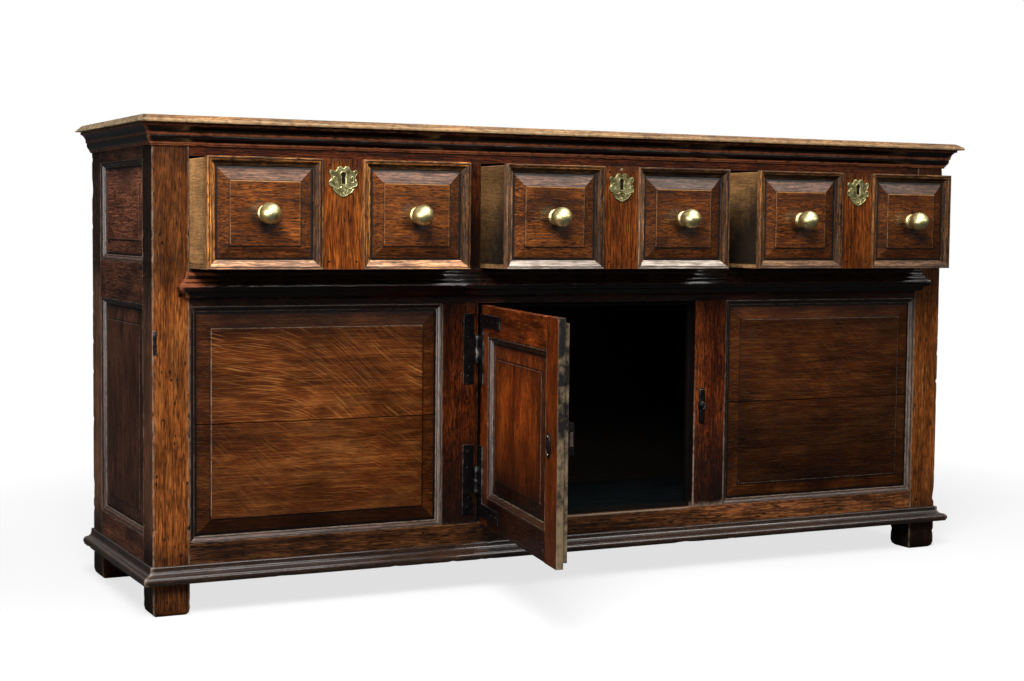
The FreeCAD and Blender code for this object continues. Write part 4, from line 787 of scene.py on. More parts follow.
def from_curve(build, place, curve, dirt_and_shade=0.0, wear_and_highlight=0.0, face=None, rim=0.0):
    """Add the surface of a curve, laid in the local plane, to a build; below its face it has a rim that is worn
    and painted with glints.
    """
    holder = bpy.data.objects.new("curve_holder", curve)
    mesh = bpy.data.meshes.new_from_object(holder)
    local = np.array([vertex.co for vertex in mesh.vertices])
    faces = [list(polygon.vertices) for polygon in mesh.polygons]
    if face is not None:
        wear_and_highlight = np.where(local[:, 2] < face - 1e-6, rim, wear_and_highlight)
    build.add(place, local, faces, wear_and_highlight, dirt_and_shade)
    bpy.data.objects.remove(holder)
    bpy.data.curves.remove(curve)
    bpy.data.meshes.remove(mesh)


def plate(build, place, outlines, thick, edge, dirt_and_shade=0.0, wear_and_highlight=0.0, rim=0.0):
    """A flat plate with rounded edges, from local z = 0 to its thickness."""
    curve = bpy.data.curves.new("plate", "CURVE")
    curve.dimensions = "2D"
    curve.fill_mode = "BOTH"
    for points in outlines:
        spline = curve.splines.new("POLY")
        spline.points.add(len(points) - 1)
        for spot, (x, y) in zip(spline.points, points):
            spot.co = (x, y, 0, 1)
        spline.use_cyclic_u = True
    curve.extrude = thick / 2 - edge
    curve.bevel_depth = edge
    curve.bevel_resolution = 2
    curve.offset = -edge
    from_curve(build, place @ Matrix.Translation((0, 0, thick / 2)), curve, dirt_and_shade, wear_and_highlight, thick / 2, rim)


def bead(build, place, points, radius, closed=False, dirt_and_shade=0.0, wear_and_highlight=0.0):
    """A round bead along local points (x, y, z)."""
    curve = bpy.data.curves.new("bead", "CURVE")
    curve.dimensions = "3D"
    curve.bevel_depth = radius
    curve.bevel_resolution = 2
    curve.use_fill_caps = True
    spline = curve.splines.new("POLY")
    spline.points.add(len(points) - 1)
    for spot, point in zip(spline.points, points):
        spot.co = (*point, 1)
    spline.use_cyclic_u = closed
    from_curve(build, place, curve, dirt_and_shade, wear_and_highlight)


def dome(build, place, radius, rise, wear_and_highlight=0.0, segments=14, dirt_and_shade=0.0):
    """The rounded head of a nail, pin or peg on local z = 0."""
    angles = [step * math.pi / 8 for step in range(4)]
    rings = [(radius * math.cos(angle), rise * math.sin(angle)) for angle in angles]
    lathe(build, place, [(radius, -0.0008), *rings, (radius * 0.12, rise)], segments, dirt_and_shade, wear_and_highlight)


# Materials
OAK_POST = oak("oak_post", (34, 12, 4), (122, 65, 25), (156, 98, 48), holes=0.10, stain=0.65,
               specular=0.10, contrast=0.75, run=55, warp=0.013)
OAK_FRAME = oak("oak_frame", (18, 5, 1), (70, 26, 7), (106, 52, 20), holes=0.04, stain=0.65,
                gloss=0.32, specular=0.13, mottle=0.45)
OAK_RAIL = oak("oak_rail", (20, 9, 4), (76, 42, 20), (116, 74, 40), holes=0.04, stain=0.65,
               gloss=0.32, specular=0.13, mottle=0.45, run=60)
OAK_SIDE = oak("oak_side", (32, 14, 9), (98, 55, 37), (132, 84, 58), stain=0.4, specular=0.14,
               mottle=0.45)
OAK_PANEL = oak("oak_panel", (38, 13, 3), (96, 46, 15), (172, 112, 56), rays=0.6, stain=0.4,
                gloss=0.30, contrast=0.45, specular=0.12, run=70, mottle=0.36, speckle=0.12)
OAK_DOOR = oak("oak_door", (44, 11, 2), (124, 52, 12), (158, 82, 28), stain=0.5, gloss=0.30,
               contrast=0.85, specular=0.16, mottle=0.4)
OAK_DRAWER = oak("oak_drawer", (32, 12, 4), (108, 55, 18), (150, 86, 36), (182, 128, 74), stain=0.45,
                 gloss=0.28, specular=0.32, contrast=0.95, relief=0.15)
OAK_CENTRE = oak("oak_centre", (32, 9, 2), (118, 55, 14), (156, 88, 32), holes=0.10, stain=0.45,
                 contrast=0.95, warp=0.022, specular=0.12, run=30)
OAK_MOULDING = oak("oak_moulding", (32, 12, 4), (114, 68, 30), (170, 118, 62), stain=0.5,
                   gloss=0.28, specular=0.15, relief=0.2)
OAK_INSET = oak("oak_inset", (16, 6, 3), (62, 32, 18), (96, 60, 38), stain=0.4, gloss=0.28,
                specular=0.58, contrast=0.7, relief=0.2)
# Near black as painted shade under the top's overhang and the drawers; its worn colour is that of the painted
# highlight bands.
OAK_CORNICE_SHADED = oak("oak_cornice", (6, 2, 1), (14, 5, 3), (30, 13, 7), (150, 84, 50), stain=0.5,
                  gloss=0.18, specular=0.5, contrast=0.8, relief=0.1)
OAK_BASE = oak("oak_base", (12, 6, 3), (46, 28, 17), (76, 50, 32), stain=0.5, gloss=0.24,
               specular=0.9, contrast=0.6, relief=0.04)
OAK_TOP = oak("oak_top", (70, 40, 18), (146, 104, 60), (180, 138, 88), (198, 168, 126), stain=0.45,
              gloss=0.5, specular=0.3, speckle=0.15)
LINING = oak("drawer_lining", (96, 66, 34), (166, 122, 74), (188, 146, 96), (204, 170, 124),
             stain=0.55, gloss=0.55, specular=0.25, contrast=0.6, speckle=0.06)
BACK_BOARDS, BACK_RAILS = (oak("back_boards_" + along, (62, 47, 35), (146, 117, 88), (176, 146, 112),
                               along=along, gloss=0.6, specular=0.2, inside=(0.95, 0.5), vary=0.4)
                           for along in "zx")
# Near black inside the case: painted shade.
INNER_BOARDS = oak("inner_boards", (5, 4, 3), (14, 10, 8), (22, 17, 13), (60, 48, 36), along="y",
                   gloss=0.6, specular=0.1)
FLOOR_BOARDS = oak("floor_boards", (3, 6, 8), (9, 16, 19), (22, 30, 31), (90, 78, 58), along="x",
                   gloss=0.5, specular=0.15)
BOTTOM_BOARDS = oak("drawer_bottom", (104, 74, 42), (158, 118, 74), (180, 140, 96), (200, 166, 122),
                    along="y", gloss=0.6, specular=0.2, contrast=0.6)
FRONT_BOARDS = oak("front_boards", (40, 17, 6), (118, 70, 32), (152, 98, 50), along="x",
                   gloss=0.5, specular=0.2, contrast=0.8)
IRON = iron("iron", (22, 22, 24), (44, 36, 32))
# A lighter copy of the iron for the bolt: painted light.
LIT_BOLT_IRON = iron("bolt_iron_lit", (84, 76, 72), (128, 100, 88))
BRASS = brass("brass", (228, 218, 160), (200, 184, 120), (58, 42, 20), 0.33)
CAST_BRASS = brass("cast_brass", (204, 196, 142), (140, 130, 82), (34, 27, 14), 0.28)


# Case

def posts():
    """Four posts that run down to the floor, worn round the foot."""
    for name, (low, high) in POST.items():
        build = Build(100 + len(name) * 7 + int(low.x > 0))
        feet = [(0.0, FOOT_INSET), (0.35 * FOOT_WORN, 0.3 * FOOT_INSET), (FOOT_WORN, 0.0), (high.z, 0.0)]
        foot = 0.6 + 0.35 * (low.x > 0)
        soil_and_shade = ((0.0, foot), (0.05, foot - 0.2), (0.10, 0.55), (0.13, 0.3), (0.18, 0.0), (0.56, 0.05),
                (0.62, 0.5), (0.80, 0.48), (0.85, 0.6))
        tone = ((0.10, 0.45), (0.35, 0.25), (0.50, 0.0), (0.88, -0.15))
        # Darker sides, and dust with painted sheen on them.
        grime, dust_and_light = (0.28, 0.23) if low.y < 0.5 * BACK else (0.15, 0.30)
        plank(build, low, high, "z", radius=0.0016, chip=0.0022, tone=tone, worn_ends=feet, step=0.006,
              rub=0.55, soil_and_shade=soil_and_shade, dark_sides=(grime, grime), side_dust_and_sheen=dust_and_light)
        build.piece("post_" + name, "carcass", "oak_frame", OAK_POST)


def frame_rails():
    """Front rails between the posts, and the uprights between the rails."""
    span = 2 * POST_INNER
    start, end = POST_INNER + MUNTINS[0].x + MUNTIN, POST_INNER + MUNTINS[1].x - MUNTIN
    threshold = ((start, 0.3), (start + 0.05, 1.3), (end - 0.02, 1.3), (end, 0.3))
    low_soil = ((0.0, 0.3), (0.3 * span, 0.2), (0.6 * span, 0.1), (span, 0.0))
    # The bottom rail grows lighter towards its right end: painted light.
    low_tone = ((0.6 * span, -0.2), (0.72 * span, 3.4), (span, 3.0))
    # The mid rail is darkened all along: painted shade under the drawers.
    rails = (("front_bottom_rail", BOTTOM_RAIL, low_soil, low_tone, threshold),
             ("front_mid_rail", MID_RAIL, 0.5, -0.5, 0.3), ("front_top_rail", TOP_RAIL, 0.15, 0.0, 0.3))
    for number, (node, (low, high), soil_and_shade, tone, rub) in enumerate(rails):
        build = Build(200 + number)
        plank(build, (-POST_INNER, FRONT, low), (POST_INNER, FRONT + RAIL_THICK, high), "x", EASED,
              chip=0.001, tone=tone, rub=rub, soil_and_shade=soil_and_shade)
        build.piece(node, "carcass", "oak_frame", OAK_FRAME if number else OAK_RAIL)
    for node, width, low, high in (("front_muntins", MUNTIN, BAY_LOW, BAY_HIGH),
                                   ("drawer_dividers", DIVIDER, MID_RAIL[1], TOP_RAIL[0])):
        build = Build(220 + len(node))
        left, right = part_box(node)[0].x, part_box(node)[1].x
        soil_and_shade = ((0.0, 0.75), (0.10, 0.58), (0.22, 0.15), (high - low, 0.08))
        pair = ((left, (0.0, 0.8), 0.3, 0.0),
                (right - width, (0.8, 0.0), ((0.0, 0.9), (0.2, 0.6), (0.3, 0.2)), 1.4))
        for x, dark, rub, tone in pair:
            plank(build, (x, FRONT, low), (x + width, FRONT + UPRIGHT_THICK, high), "z", EASED,
                  chip=0.001, tone=tone, rub=rub, soil_and_shade=soil_and_shade, dark_sides=dark)
        build.piece(node, "carcass", "oak_frame", OAK_FRAME)


def side_frames():
    """Rails and fielded panels of both sides."""
    rails, panels = Build(240), Build(250)
    for side in (-1, 1):
        outer, inner = side * HALF, side * (HALF - SIDE_RAIL_THICK)
        for low, high in SIDE_RAILS:
            plank(rails, (min(outer, inner), SIDE_FRONT, low), (max(outer, inner), SIDE_BACK, high), "y",
                  EASED, chip=0.0015)
    rails.piece("side_rails", "carcass", "oak_frame", OAK_SIDE)
    for side in (-1, 1):
        for upright, (low, high) in enumerate(SIDE_BAYS):
            wide, tall = SIDE_BACK - SIDE_FRONT - 2 * PANEL_MOULDING, high - low - 2 * PANEL_MOULDING
            inset = Matrix.Translation((PANEL_MOULDING, PANEL_SUNK, PANEL_MOULDING))
            place = side_place(side, low) @ inset
            if upright:
                place = place @ axes((wide, 0, 0), Z, Y, -X)
                seams = ((wide / 2, 0.0008, 0.002, 0.0006),)
                case_panel(panels, place, tall, wide, seams=seams, tone=-0.5)
            else:
                case_panel(panels, place, wide, tall, tone=2.6)
    panels.piece("side_panels", "carcass", "oak_panel", OAK_SIDE, PANEL_SMOOTH)


def side_place(side, low):
    """Local axes of a side panel's opening, seen from outside: x to the right, y inwards, z up."""
    if side < 0:
        return axes((-HALF, SIDE_BACK, low), -Y, X, Z)
    return axes((HALF, SIDE_FRONT, low), Y, -X, Z)


def front_panels():
    """The two fixed panels, each of two boards."""
    build = Build(300)
    tall = BAY_HIGH - BAY_LOW - 2 * PANEL_MOULDING
    joint, crack = tall / 2, tall / 2 - 0.098
    # Each look paints light: a pool of light, dust with painted light on the bevels, lighter bevels and pale
    # field edges; the right panel is darker partly as painted fall-off of the light.
    looks = (dict(seams=((joint, 0.0011, 0.003, 0.0012),), tone=-0.62, fade=(-0.1, 0.6), rays=(0.45, 1.0),
                  glow=(0.55, 0.6, 0.4, 0.7), blooms=(-0.8, -0.4, -0.5, -0.5), rubs=(0.15, 0.1, 0.65, 0.65)),
             dict(seams=((joint, 0.0010, 0.003, 0.0012), (crack, 0.0006, 0.002, 0.006)), tone=-1.55,
                  fade=(0.0, 0.9), rays=(0.0, 0.1, 0.3), glow=(0.4, 0.7, 0.3, 0.6),
                  blooms=(-0.2, -0.2, 0.0, -0.1), rubs=(0.5, 0.45, 0.6, 0.15), bevel_light=(0.8, 0.3, 1.0, 0.25)))
    for (x0, x1), look in zip(BAYS, looks):
        place = axes((x0 + PANEL_MOULDING, FRONT + PANEL_SUNK, BAY_LOW + PANEL_MOULDING), X, Y, Z)
        case_panel(build, place, x1 - x0 - 2 * PANEL_MOULDING, tall, **look)
    build.piece("front_panels", "carcass", "oak_panel", OAK_PANEL, PANEL_SMOOTH)


def panel_mouldings():
    """Mitred mouldings round the fixed panels of the front and the sides."""
    build = Build(320)
    for x0, x1 in BAYS:
        place = axes((x0, FRONT + PANEL_SUNK, BAY_LOW), X, Y, Z)
        # Painted light: lighter along the bottom and the right, darker along the top and the left, with dust
        # and painted sheen and painted shade on the inner half.
        mitred_frame(build, place, PANEL_PROFILE, x1 - x0, BAY_HIGH - BAY_LOW, PANEL_CHIP,
                     painted_light_by_side=(0.3, -1.2, -1.3, 0.5), rub=0.5, blooms=(0.2, 0.0, 0.0, 0.35),
                     inner=(0.0, 0.6, 0.4, 0.0))
    for side in (-1, 1):
        for low, high in SIDE_BAYS:
            place = side_place(side, low) @ Matrix.Translation((0, PANEL_SUNK, 0))
            # Lighter along the bottom: painted light.
            mitred_frame(build, place, PANEL_PROFILE, SIDE_BACK - SIDE_FRONT, high - low, PANEL_CHIP,
                         painted_light_by_side=(1.6, -0.4, 0.2, 0.2), rub=0.5)
    build.piece("panel_mouldings", "carcass", "oak_moulding", OAK_INSET)


def top_boards():
    """The top: two boards with a worn slope along the front and the ends."""
    low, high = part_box("top_boards")
    build = Build(340)
    joint = low.y + TOP_FRONT_BOARD
    for y0, y1, slope in ((low.y, joint, TOP_SLOPE), (joint, high.y, 0.0)):
        wide = y1 - y0
        edge = [(slope, TOP_THICK), (slope * 0.45, TOP_THICK * 0.72), (0.0, TOP_LIP), (0.0005, 0.0)]
        outline = [(wide, 0.0), (wide, TOP_THICK), (wide * 0.7, TOP_THICK), (wide * 0.3, TOP_THICK)]
        outline += edge if slope else [(0.0, TOP_THICK), (0.0, 0.0)]
        rows = eased(outline, EASED)
        up = np.array([row[1] for row in rows])
        slant = TOP_SLOPE * np.clip((up - TOP_LIP) / (TOP_THICK - TOP_LIP), 0, 1)
        # Darker at both ends, at the left end as painted shade.
        soil_and_shade = ((low.x, 0.8), (low.x + TOP_SLOPE, 0.7), (low.x + 1.6 * TOP_SLOPE, 0.0),
                (high.x - 1.6 * TOP_SLOPE, 0.0), (high.x, 0.3))
        sweep(build, axes((0, y0, low.z), X, Y, Z), rows, low.x + slant, high.x - slant, step=0.006,
              chip=0.0035, rub=0.6, soil_and_shade=soil_and_shade)
    build.piece("top_boards", "carcass", "oak_top", OAK_TOP)


def run_of_moulding(node, corners, z_top, wall, side_end, seed, material, chip, lit=(), rub=1.0, tone=0.0):
    """A moulding across the front with mitred lengths round both corners.

    lit are its bands of painted highlight, laid in as wear; rub and tone are those of the front length, and can
    be pairs of a place along it and a number. rub is how pale its edges are, from wear and painted light.
    """
    rows = []
    for across, out, wear_and_highlight, dirt_and_shade in profile_rows(corners):
        band = any(first <= across <= last for first, last in lit)
        rows.append((across, out, max(EDGE_RUB * wear_and_highlight, LIT_BAND * band), dirt_and_shade))
    out = np.array([row[1] for row in rows])
    build = Build(seed)
    place = axes((0, FRONT, z_top), X, -Z, -Y)
    sweep(build, place, rows, -wall - out, wall + out, MOULDING_STEP, chip, tone, rub=rub)
    for side in (-1, 1):
        place = axes((side * wall, FRONT, z_top), Y, -Z, side * X)
        sweep(build, place, rows, -out, side_end - FRONT, MOULDING_STEP, chip)
    build.piece(node, "carcass", "oak_moulding", material)


def pegs():
    """Oak pegs in the joints, just proud of the face, and the iron patch on the left post."""
    build = Build(380)
    look = dict(radius=PEG_RADIUS, rise=PEG_RISE, wear_and_highlight=0.1, segments=9, dirt_and_shade=0.25)
    for side in (-1, 1):
        for low, high in (BOTTOM_RAIL, MID_RAIL, TOP_RAIL):
            for share in (-PEG_SHARE, PEG_SHARE):
                spot = (side * (POST_INNER + PEG_SET), FRONT, (low + high) / 2 + (high - low) * share)
                dome(build, face_on(spot), **look)
        for low, high in SIDE_RAILS:
            for y in (SIDE_FRONT - PEG_SET, SIDE_BACK + PEG_SET):
                for share in (-PEG_SHARE, PEG_SHARE):
                    spot = (side * HALF, y, (low + high) / 2 + (high - low) * share)
                    dome(build, axes(spot, Y, Z, side * X), **look)
    build.piece("joint_pegs", "carcass", "oak_frame", OAK_FRAME)
    patch = Build(390)
    wide, tall = PATCH_SIZE
    outline = [(0.0, 0.0), (wide, 0.0), (wide, tall), (0.0, tall)]
    corner = (-HALF + PATCH_SET, FRONT, PATCH_LOW)
    plate(patch, face_on(corner), [outline], PATCH_THICK, edge=0.0002, wear_and_highlight=0.55, rim=0.9)
    for share in (0.2, 0.8):
        spot = (-HALF + PATCH_SET + 0.5 * wide, FRONT - PATCH_THICK, PATCH_LOW + share * tall)
        dome(patch, face_on(spot), 0.0013, 0.0005, wear_and_highlight=0.2)
    patch.piece("post_front_left", "carcass", "iron", IRON, name="post_patch_iron")


# Drawers

KEY_PLATE_RIGHT = ((0.31, -0.86, 14), (0.69, -0.53, 16), (0.75, -0.43, 3), (0.56, -0.38), (0.86, -0.31),
                   (1.0, -0.10, 6), (0.97, 0.08, 5), (0.865, 0.275, -7), (0.965, 0.50, -9), (0.98, 0.68, 4),
                   (0.87, 0.78, 3.5), (0.74, 0.70, 4), (0.63, 0.675, -3), (0.43, 0.90, -9), (0.25, 1.0, 5),
                   (0.08, 0.93, 4))
PLATE_HALF, PLATE_RISE, PLATE_FALL, PLATE_THICK = 0.0277, 0.028, 0.0275, 0.0025
KEY_RADIUS, KEY_RISE, KEY_SLOT, KEY_DROP = 0.0044, 0.0123, 0.0066, 0.0155
KEY_SHADE = 3.0


def mirrored(foot, right, crown):
    """Close the right half of an outline, from foot up to crown, with its mirror image."""
    rising = [foot, *right, crown]
    falling = [(-low[0], low[1], *high[2:]) for low, high in zip(rising[-2:0:-1], rising[:1:-1])]
    return [(*foot, *right[0][2:]), *right, crown, *falling]


def keyhole_outline(scale=1.0):
    """A keyhole, round at the top, with a slot below."""
    top, half, radius = KEY_RISE * scale, KEY_SLOT * scale / 2, KEY_RADIUS * scale
    start = math.asin(half / radius)
    turn = [start + (2 * math.pi - 2 * start) * step / 14 for step in range(15)]
    bottom = top - KEY_DROP * scale
    round_part = [(radius * math.sin(angle), top - radius * math.cos(angle)) for angle in turn]
    return [(half, bottom), *round_part, (-half, bottom)]


def key_plate_outline():
    """The lobed shield of a drawer's key plate."""
    right = []
    for corner in KEY_PLATE_RIGHT:
        reach = PLATE_RISE if corner[1] > 0 else PLATE_FALL
        right.append((corner[0] * PLATE_HALF, corner[1] * reach, *(part * MM for part in corner[2:])))
    return trace(mirrored((0.0, -PLATE_FALL), right, (0.0, 0.88 * PLATE_RISE, -3 * MM)), 4)


def escutcheon(build, place):
    """A cast brass key plate: rim, scrolls, shell foot, keyhole surround and pins."""
    outline = key_plate_outline()
    face = PLATE_THICK * 0.72
    wide, rise, fall = PLATE_HALF, PLATE_RISE, PLATE_FALL
    plate(build, place, [outline, keyhole_outline()[::-1]], face, edge=0.0006, dirt_and_shade=0.58, rim=1.0)
    rim = [(x * 0.93, y * 0.93, face - 0.0002) for x, y in outline]
    bead(build, place, rim, 0.0008, closed=True, wear_and_highlight=1.0)
    hole_middle = KEY_RISE - 0.35 * KEY_DROP
    ring = [(x * 1.42, (y - hole_middle) * 1.22 + hole_middle, face) for x, y in keyhole_outline()]
    bead(build, place, ring, 0.0008, closed=True, wear_and_highlight=1.0)
    for side in (-1, 1):
        curl = [(side * wide * (0.58 + 0.19 * math.cos(angle) * (1 - 0.06 * step)),
                 rise * (0.20 + 0.28 * math.sin(angle) * (1 - 0.05 * step)), face)
                for step, angle in enumerate(np.linspace(-2.2, 2.6, 14))]
        bead(build, place, curl, 0.0010, wear_and_highlight=1.0)
        leaf = [(side * wide * (0.12 + 0.46 * share),
                 -fall * (0.30 + 0.11 * math.sin(share * math.pi) + 0.06 * share), face)
                for share in np.linspace(0, 1, 8)]
        bead(build, place, leaf, 0.0011, wear_and_highlight=1.0)
        for share in (0.25, 0.6):
            rib = [(side * 0.5 * wide * share * (1 - 0.5 * reach), -fall * (0.48 + 0.42 * reach), face)
                   for reach in np.linspace(0, 1, 5)]
            bead(build, place, rib, 0.0007, wear_and_highlight=0.8)
        pin = place @ Matrix.Translation((side * 0.83 * wide, 0.10 * rise, face))
        dome(build, pin, 0.0017, 0.0012, wear_and_highlight=1.0)
    dome(build, place @ Matrix.Translation((0, -0.74 * fall, face)), 0.0017, 0.0012, wear_and_highlight=1.0)


def knob_points():
    """Profile of a knob as (radius, height), with its dirt."""
    flat = [(corner[0] * MM, corner[1] * MM, *(part * MM for part in corner[2:])) for corner in KNOB_PROFILE]
    points = trace(flat, 12, closed=False)
    dirt_and_shade = np.array([0.5 if 0.0055 < height < 0.0085 else 0.4 if 0.0028 < height < 0.0034 else 0.0
                     for radius, height in points])
    dirt_and_shade[[radius < 0.0032 and height > 0.04 for radius, height in points]] = 0.5
    return points, dirt_and_shade


SCRATCHES = (((-0.046, 0.004, 0.016), (-0.043, -0.003, 0.020), (-0.040, -0.008, 0.012)),
             ((-0.050, 0.010, 0.010), (-0.044, -0.002, 0.024), (-0.052, -0.007, 0.018),
              (-0.036, -0.014, 0.012)))


def scratches(build, place, rows):
    """Fine pale scores in a field beside a knob; each is x, z from the knob and its length."""
    for x, z, length in rows:
        line = [(x, z, 0.0), (x + 0.5 * length, z - 0.0006, 0.00008), (x + length, z + 0.0004, 0.0)]
        bead(build, place, line, 0.0002, wear_and_highlight=1.4)


def drawer_panels(body, seed, tone, moulding_light, dust_and_light, central):
    """A drawer's fielded panels, their mouldings and its knobs."""
    low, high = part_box(body + "_mouldings")
    width, height = high.x - low.x, high.z - low.z
    panel_wide = (width - CENTRE_BOARD) / 2
    inner_wide, inner_high = panel_wide - 2 * FACING_MOULDING, height - 2 * FACING_MOULDING
    facing, mouldings, knobs = Build(seed), Build(seed + 1), Build(seed + 2)
    points, dirt_and_shade = knob_points()
    field = high.y - FACING_SLAB - FACING_RISE - FIELD_STEP
    for x in (low.x, high.x - panel_wide):
        place = axes((x, high.y, low.z), X, Y, Z)
        # Painted light and shade on each length of moulding, dust with painted light, and painted shade on the
        # inner half.
        mitred_frame(mouldings, place, DRAWER_PROFILE, panel_wide, height, chip=0.0010, painted_light_by_side=moulding_light, rub=0.35,
                     blooms=dust_and_light, inner=(0.0, 0.7, 0.15, 0.5))
        inset = place @ Matrix.Translation((FACING_MOULDING, -FACING_SLAB, FACING_MOULDING))
        # The right panel is darker as painted fall-off of the light; the bevels carry dust with painted light
        # and painted shade, and the field's edges painted highlights.
        fielded(facing, inset, inner_wide, inner_high, FACING_BEVEL, FACING_RISE, FACING_SLAB, 0.0,
                tone=tone - 0.2 * (x > low.x), halo=(inner_wide / 2, inner_high / 2), cell=0.004, shade=0.15,
                blooms=(-0.3, -0.45, 0.3, 0.05), rubs=(0.1, 0.5, 0.8, 0.45))
        knob_place = face_on((x + panel_wide / 2, field, low.z + height / 2))
        lathe(knobs, knob_place, points, 48, dirt_and_shade=dirt_and_shade)
        if x > low.x or central:
            scratches(facing, knob_place, SCRATCHES[central])
    return facing, mouldings, knobs


def drawer_centre(body, seed, tone, central):
    """The upright board between a drawer's panels, and the key plate on it."""
    low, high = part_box(body + "_mouldings")
    middle, face, height = (low.x + high.x) / 2, high.y - CENTRE_THICK, high.z - low.z
    upright, shield = Build(seed + 3), Build(seed + 6)
    soil_and_shade = ((0.0, 0.2), (0.03, 0.0), (height - 0.06, 0.05), (height, 0.5))
    plank(upright, (middle - CENTRE_BOARD / 2, face, low.z), (middle + CENTRE_BOARD / 2, high.y, high.z), "z",
          radius=0.001, chip=0.0012, tone=tone, soil_and_shade=soil_and_shade)
    for side in (-1, 1):
        for z in (low.z + PIN_UP, high.z - PIN_DOWN):
            spot = (middle + side * (CENTRE_BOARD / 2 - PIN_SET), face, z)
            dome(upright, face_on(spot), PIN_RADIUS, PIN_RISE, segments=10, dirt_and_shade=KEY_SHADE)
    if central:
        dome(upright, face_on((middle, face, high.z - SPOT_DOWN)), SPOT_RADIUS, SPOT_RISE, wear_and_highlight=1.6)
    key_place = face_on((middle, face, high.z - PLATE_DOWN))
    # A black sheet in the keyhole: painted shade.
    shaft = [(x * 1.1, y) for x, y in keyhole_outline()]
    plate(upright, key_place, [shaft], 0.0003, edge=0.00005, dirt_and_shade=KEY_SHADE)
    escutcheon(shield, key_place)
    return upright, shield


def drawer_box(body, seed, tone, grime):
    """A drawer's sides and back."""
    low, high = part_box(body + "_box")
    box = Build(seed + 5)
    soil_and_shade = ((0.0, 0.5), (0.03, 0.3), (0.09, 0.12), (0.16, 0.0), (high.y - low.y, 0.1))
    for x in (low.x, high.x - DRAWER_SIDE):
        # The side boards' tone is painted light, and painted shade grows over them towards the foot.
        plank(box, (x, low.y, low.z), (x + DRAWER_SIDE, high.y, high.z), "y", EASED, chip=0.0015, tone=tone,
              soil_and_shade=soil_and_shade, across_shade=grime)
    plank(box, (low.x + DRAWER_SIDE, high.y - DRAWER_SIDE, low.z),
          (high.x - DRAWER_SIDE, high.y, high.z - DRAWER_BACK_DOWN), "x", EASED, chip=0.0015)
    return box


def drawers():
    """Front, mouldings, panels, box and fittings of each drawer.

    looks gives each drawer's tone, the painted light and the dust with painted light of its mouldings, the
    painted light of its lining and the painted shade at the foot and the head of its sides.
    """
    looks = (("left", 0.0, (4.6, 1.6, 3.4, -0.4), (0.25, 0.0, 0.0, 0.0), 2.6, (0.1, 0.0)),
             ("centre", -0.4, (1.4, -0.2, 0.4, -1.0), (1.0, 0.0, 0.25, 0.0), -0.8, (0.55, -0.1)),
             ("right", -0.45, (-0.3, -0.3, 0.2, -0.9), (0.3, 0.0, 0.1, 0.0), 0.0, (0.9, 0.0)))
    for number, (word, tone, moulding_light, dust_and_light, lining_light, grime) in enumerate(looks):
        body, seed, central = "drawer_" + word, 400 + 40 * number, word == "centre"
        facing, mouldings, knobs = drawer_panels(body, seed, tone, moulding_light, dust_and_light, central)
        upright, shield = drawer_centre(body, seed, tone, central)
        facing.piece(body + "_panels", body, "oak_drawer", OAK_DRAWER, PANEL_SMOOTH)
        upright.piece(body + "_panels", body, "oak_drawer", OAK_CENTRE, name=body + "_centre_oak")
        mouldings.piece(body + "_mouldings", body, "oak_moulding", OAK_MOULDING)
        drawer_box(body, seed, lining_light, grime).piece(body + "_box", body, "drawer_linings", LINING)
        knobs.piece(body + "_knobs", body, "brass", BRASS)
        shield.piece(body + "_escutcheon", body, "brass", CAST_BRASS)


# Door

def door_place():
    """The door's own axes: x along the door from its hinge, y through it, z up."""
    return Matrix.Translation(HINGE) @ Matrix.Rotation(-DOOR_OPEN, 4, "Z")


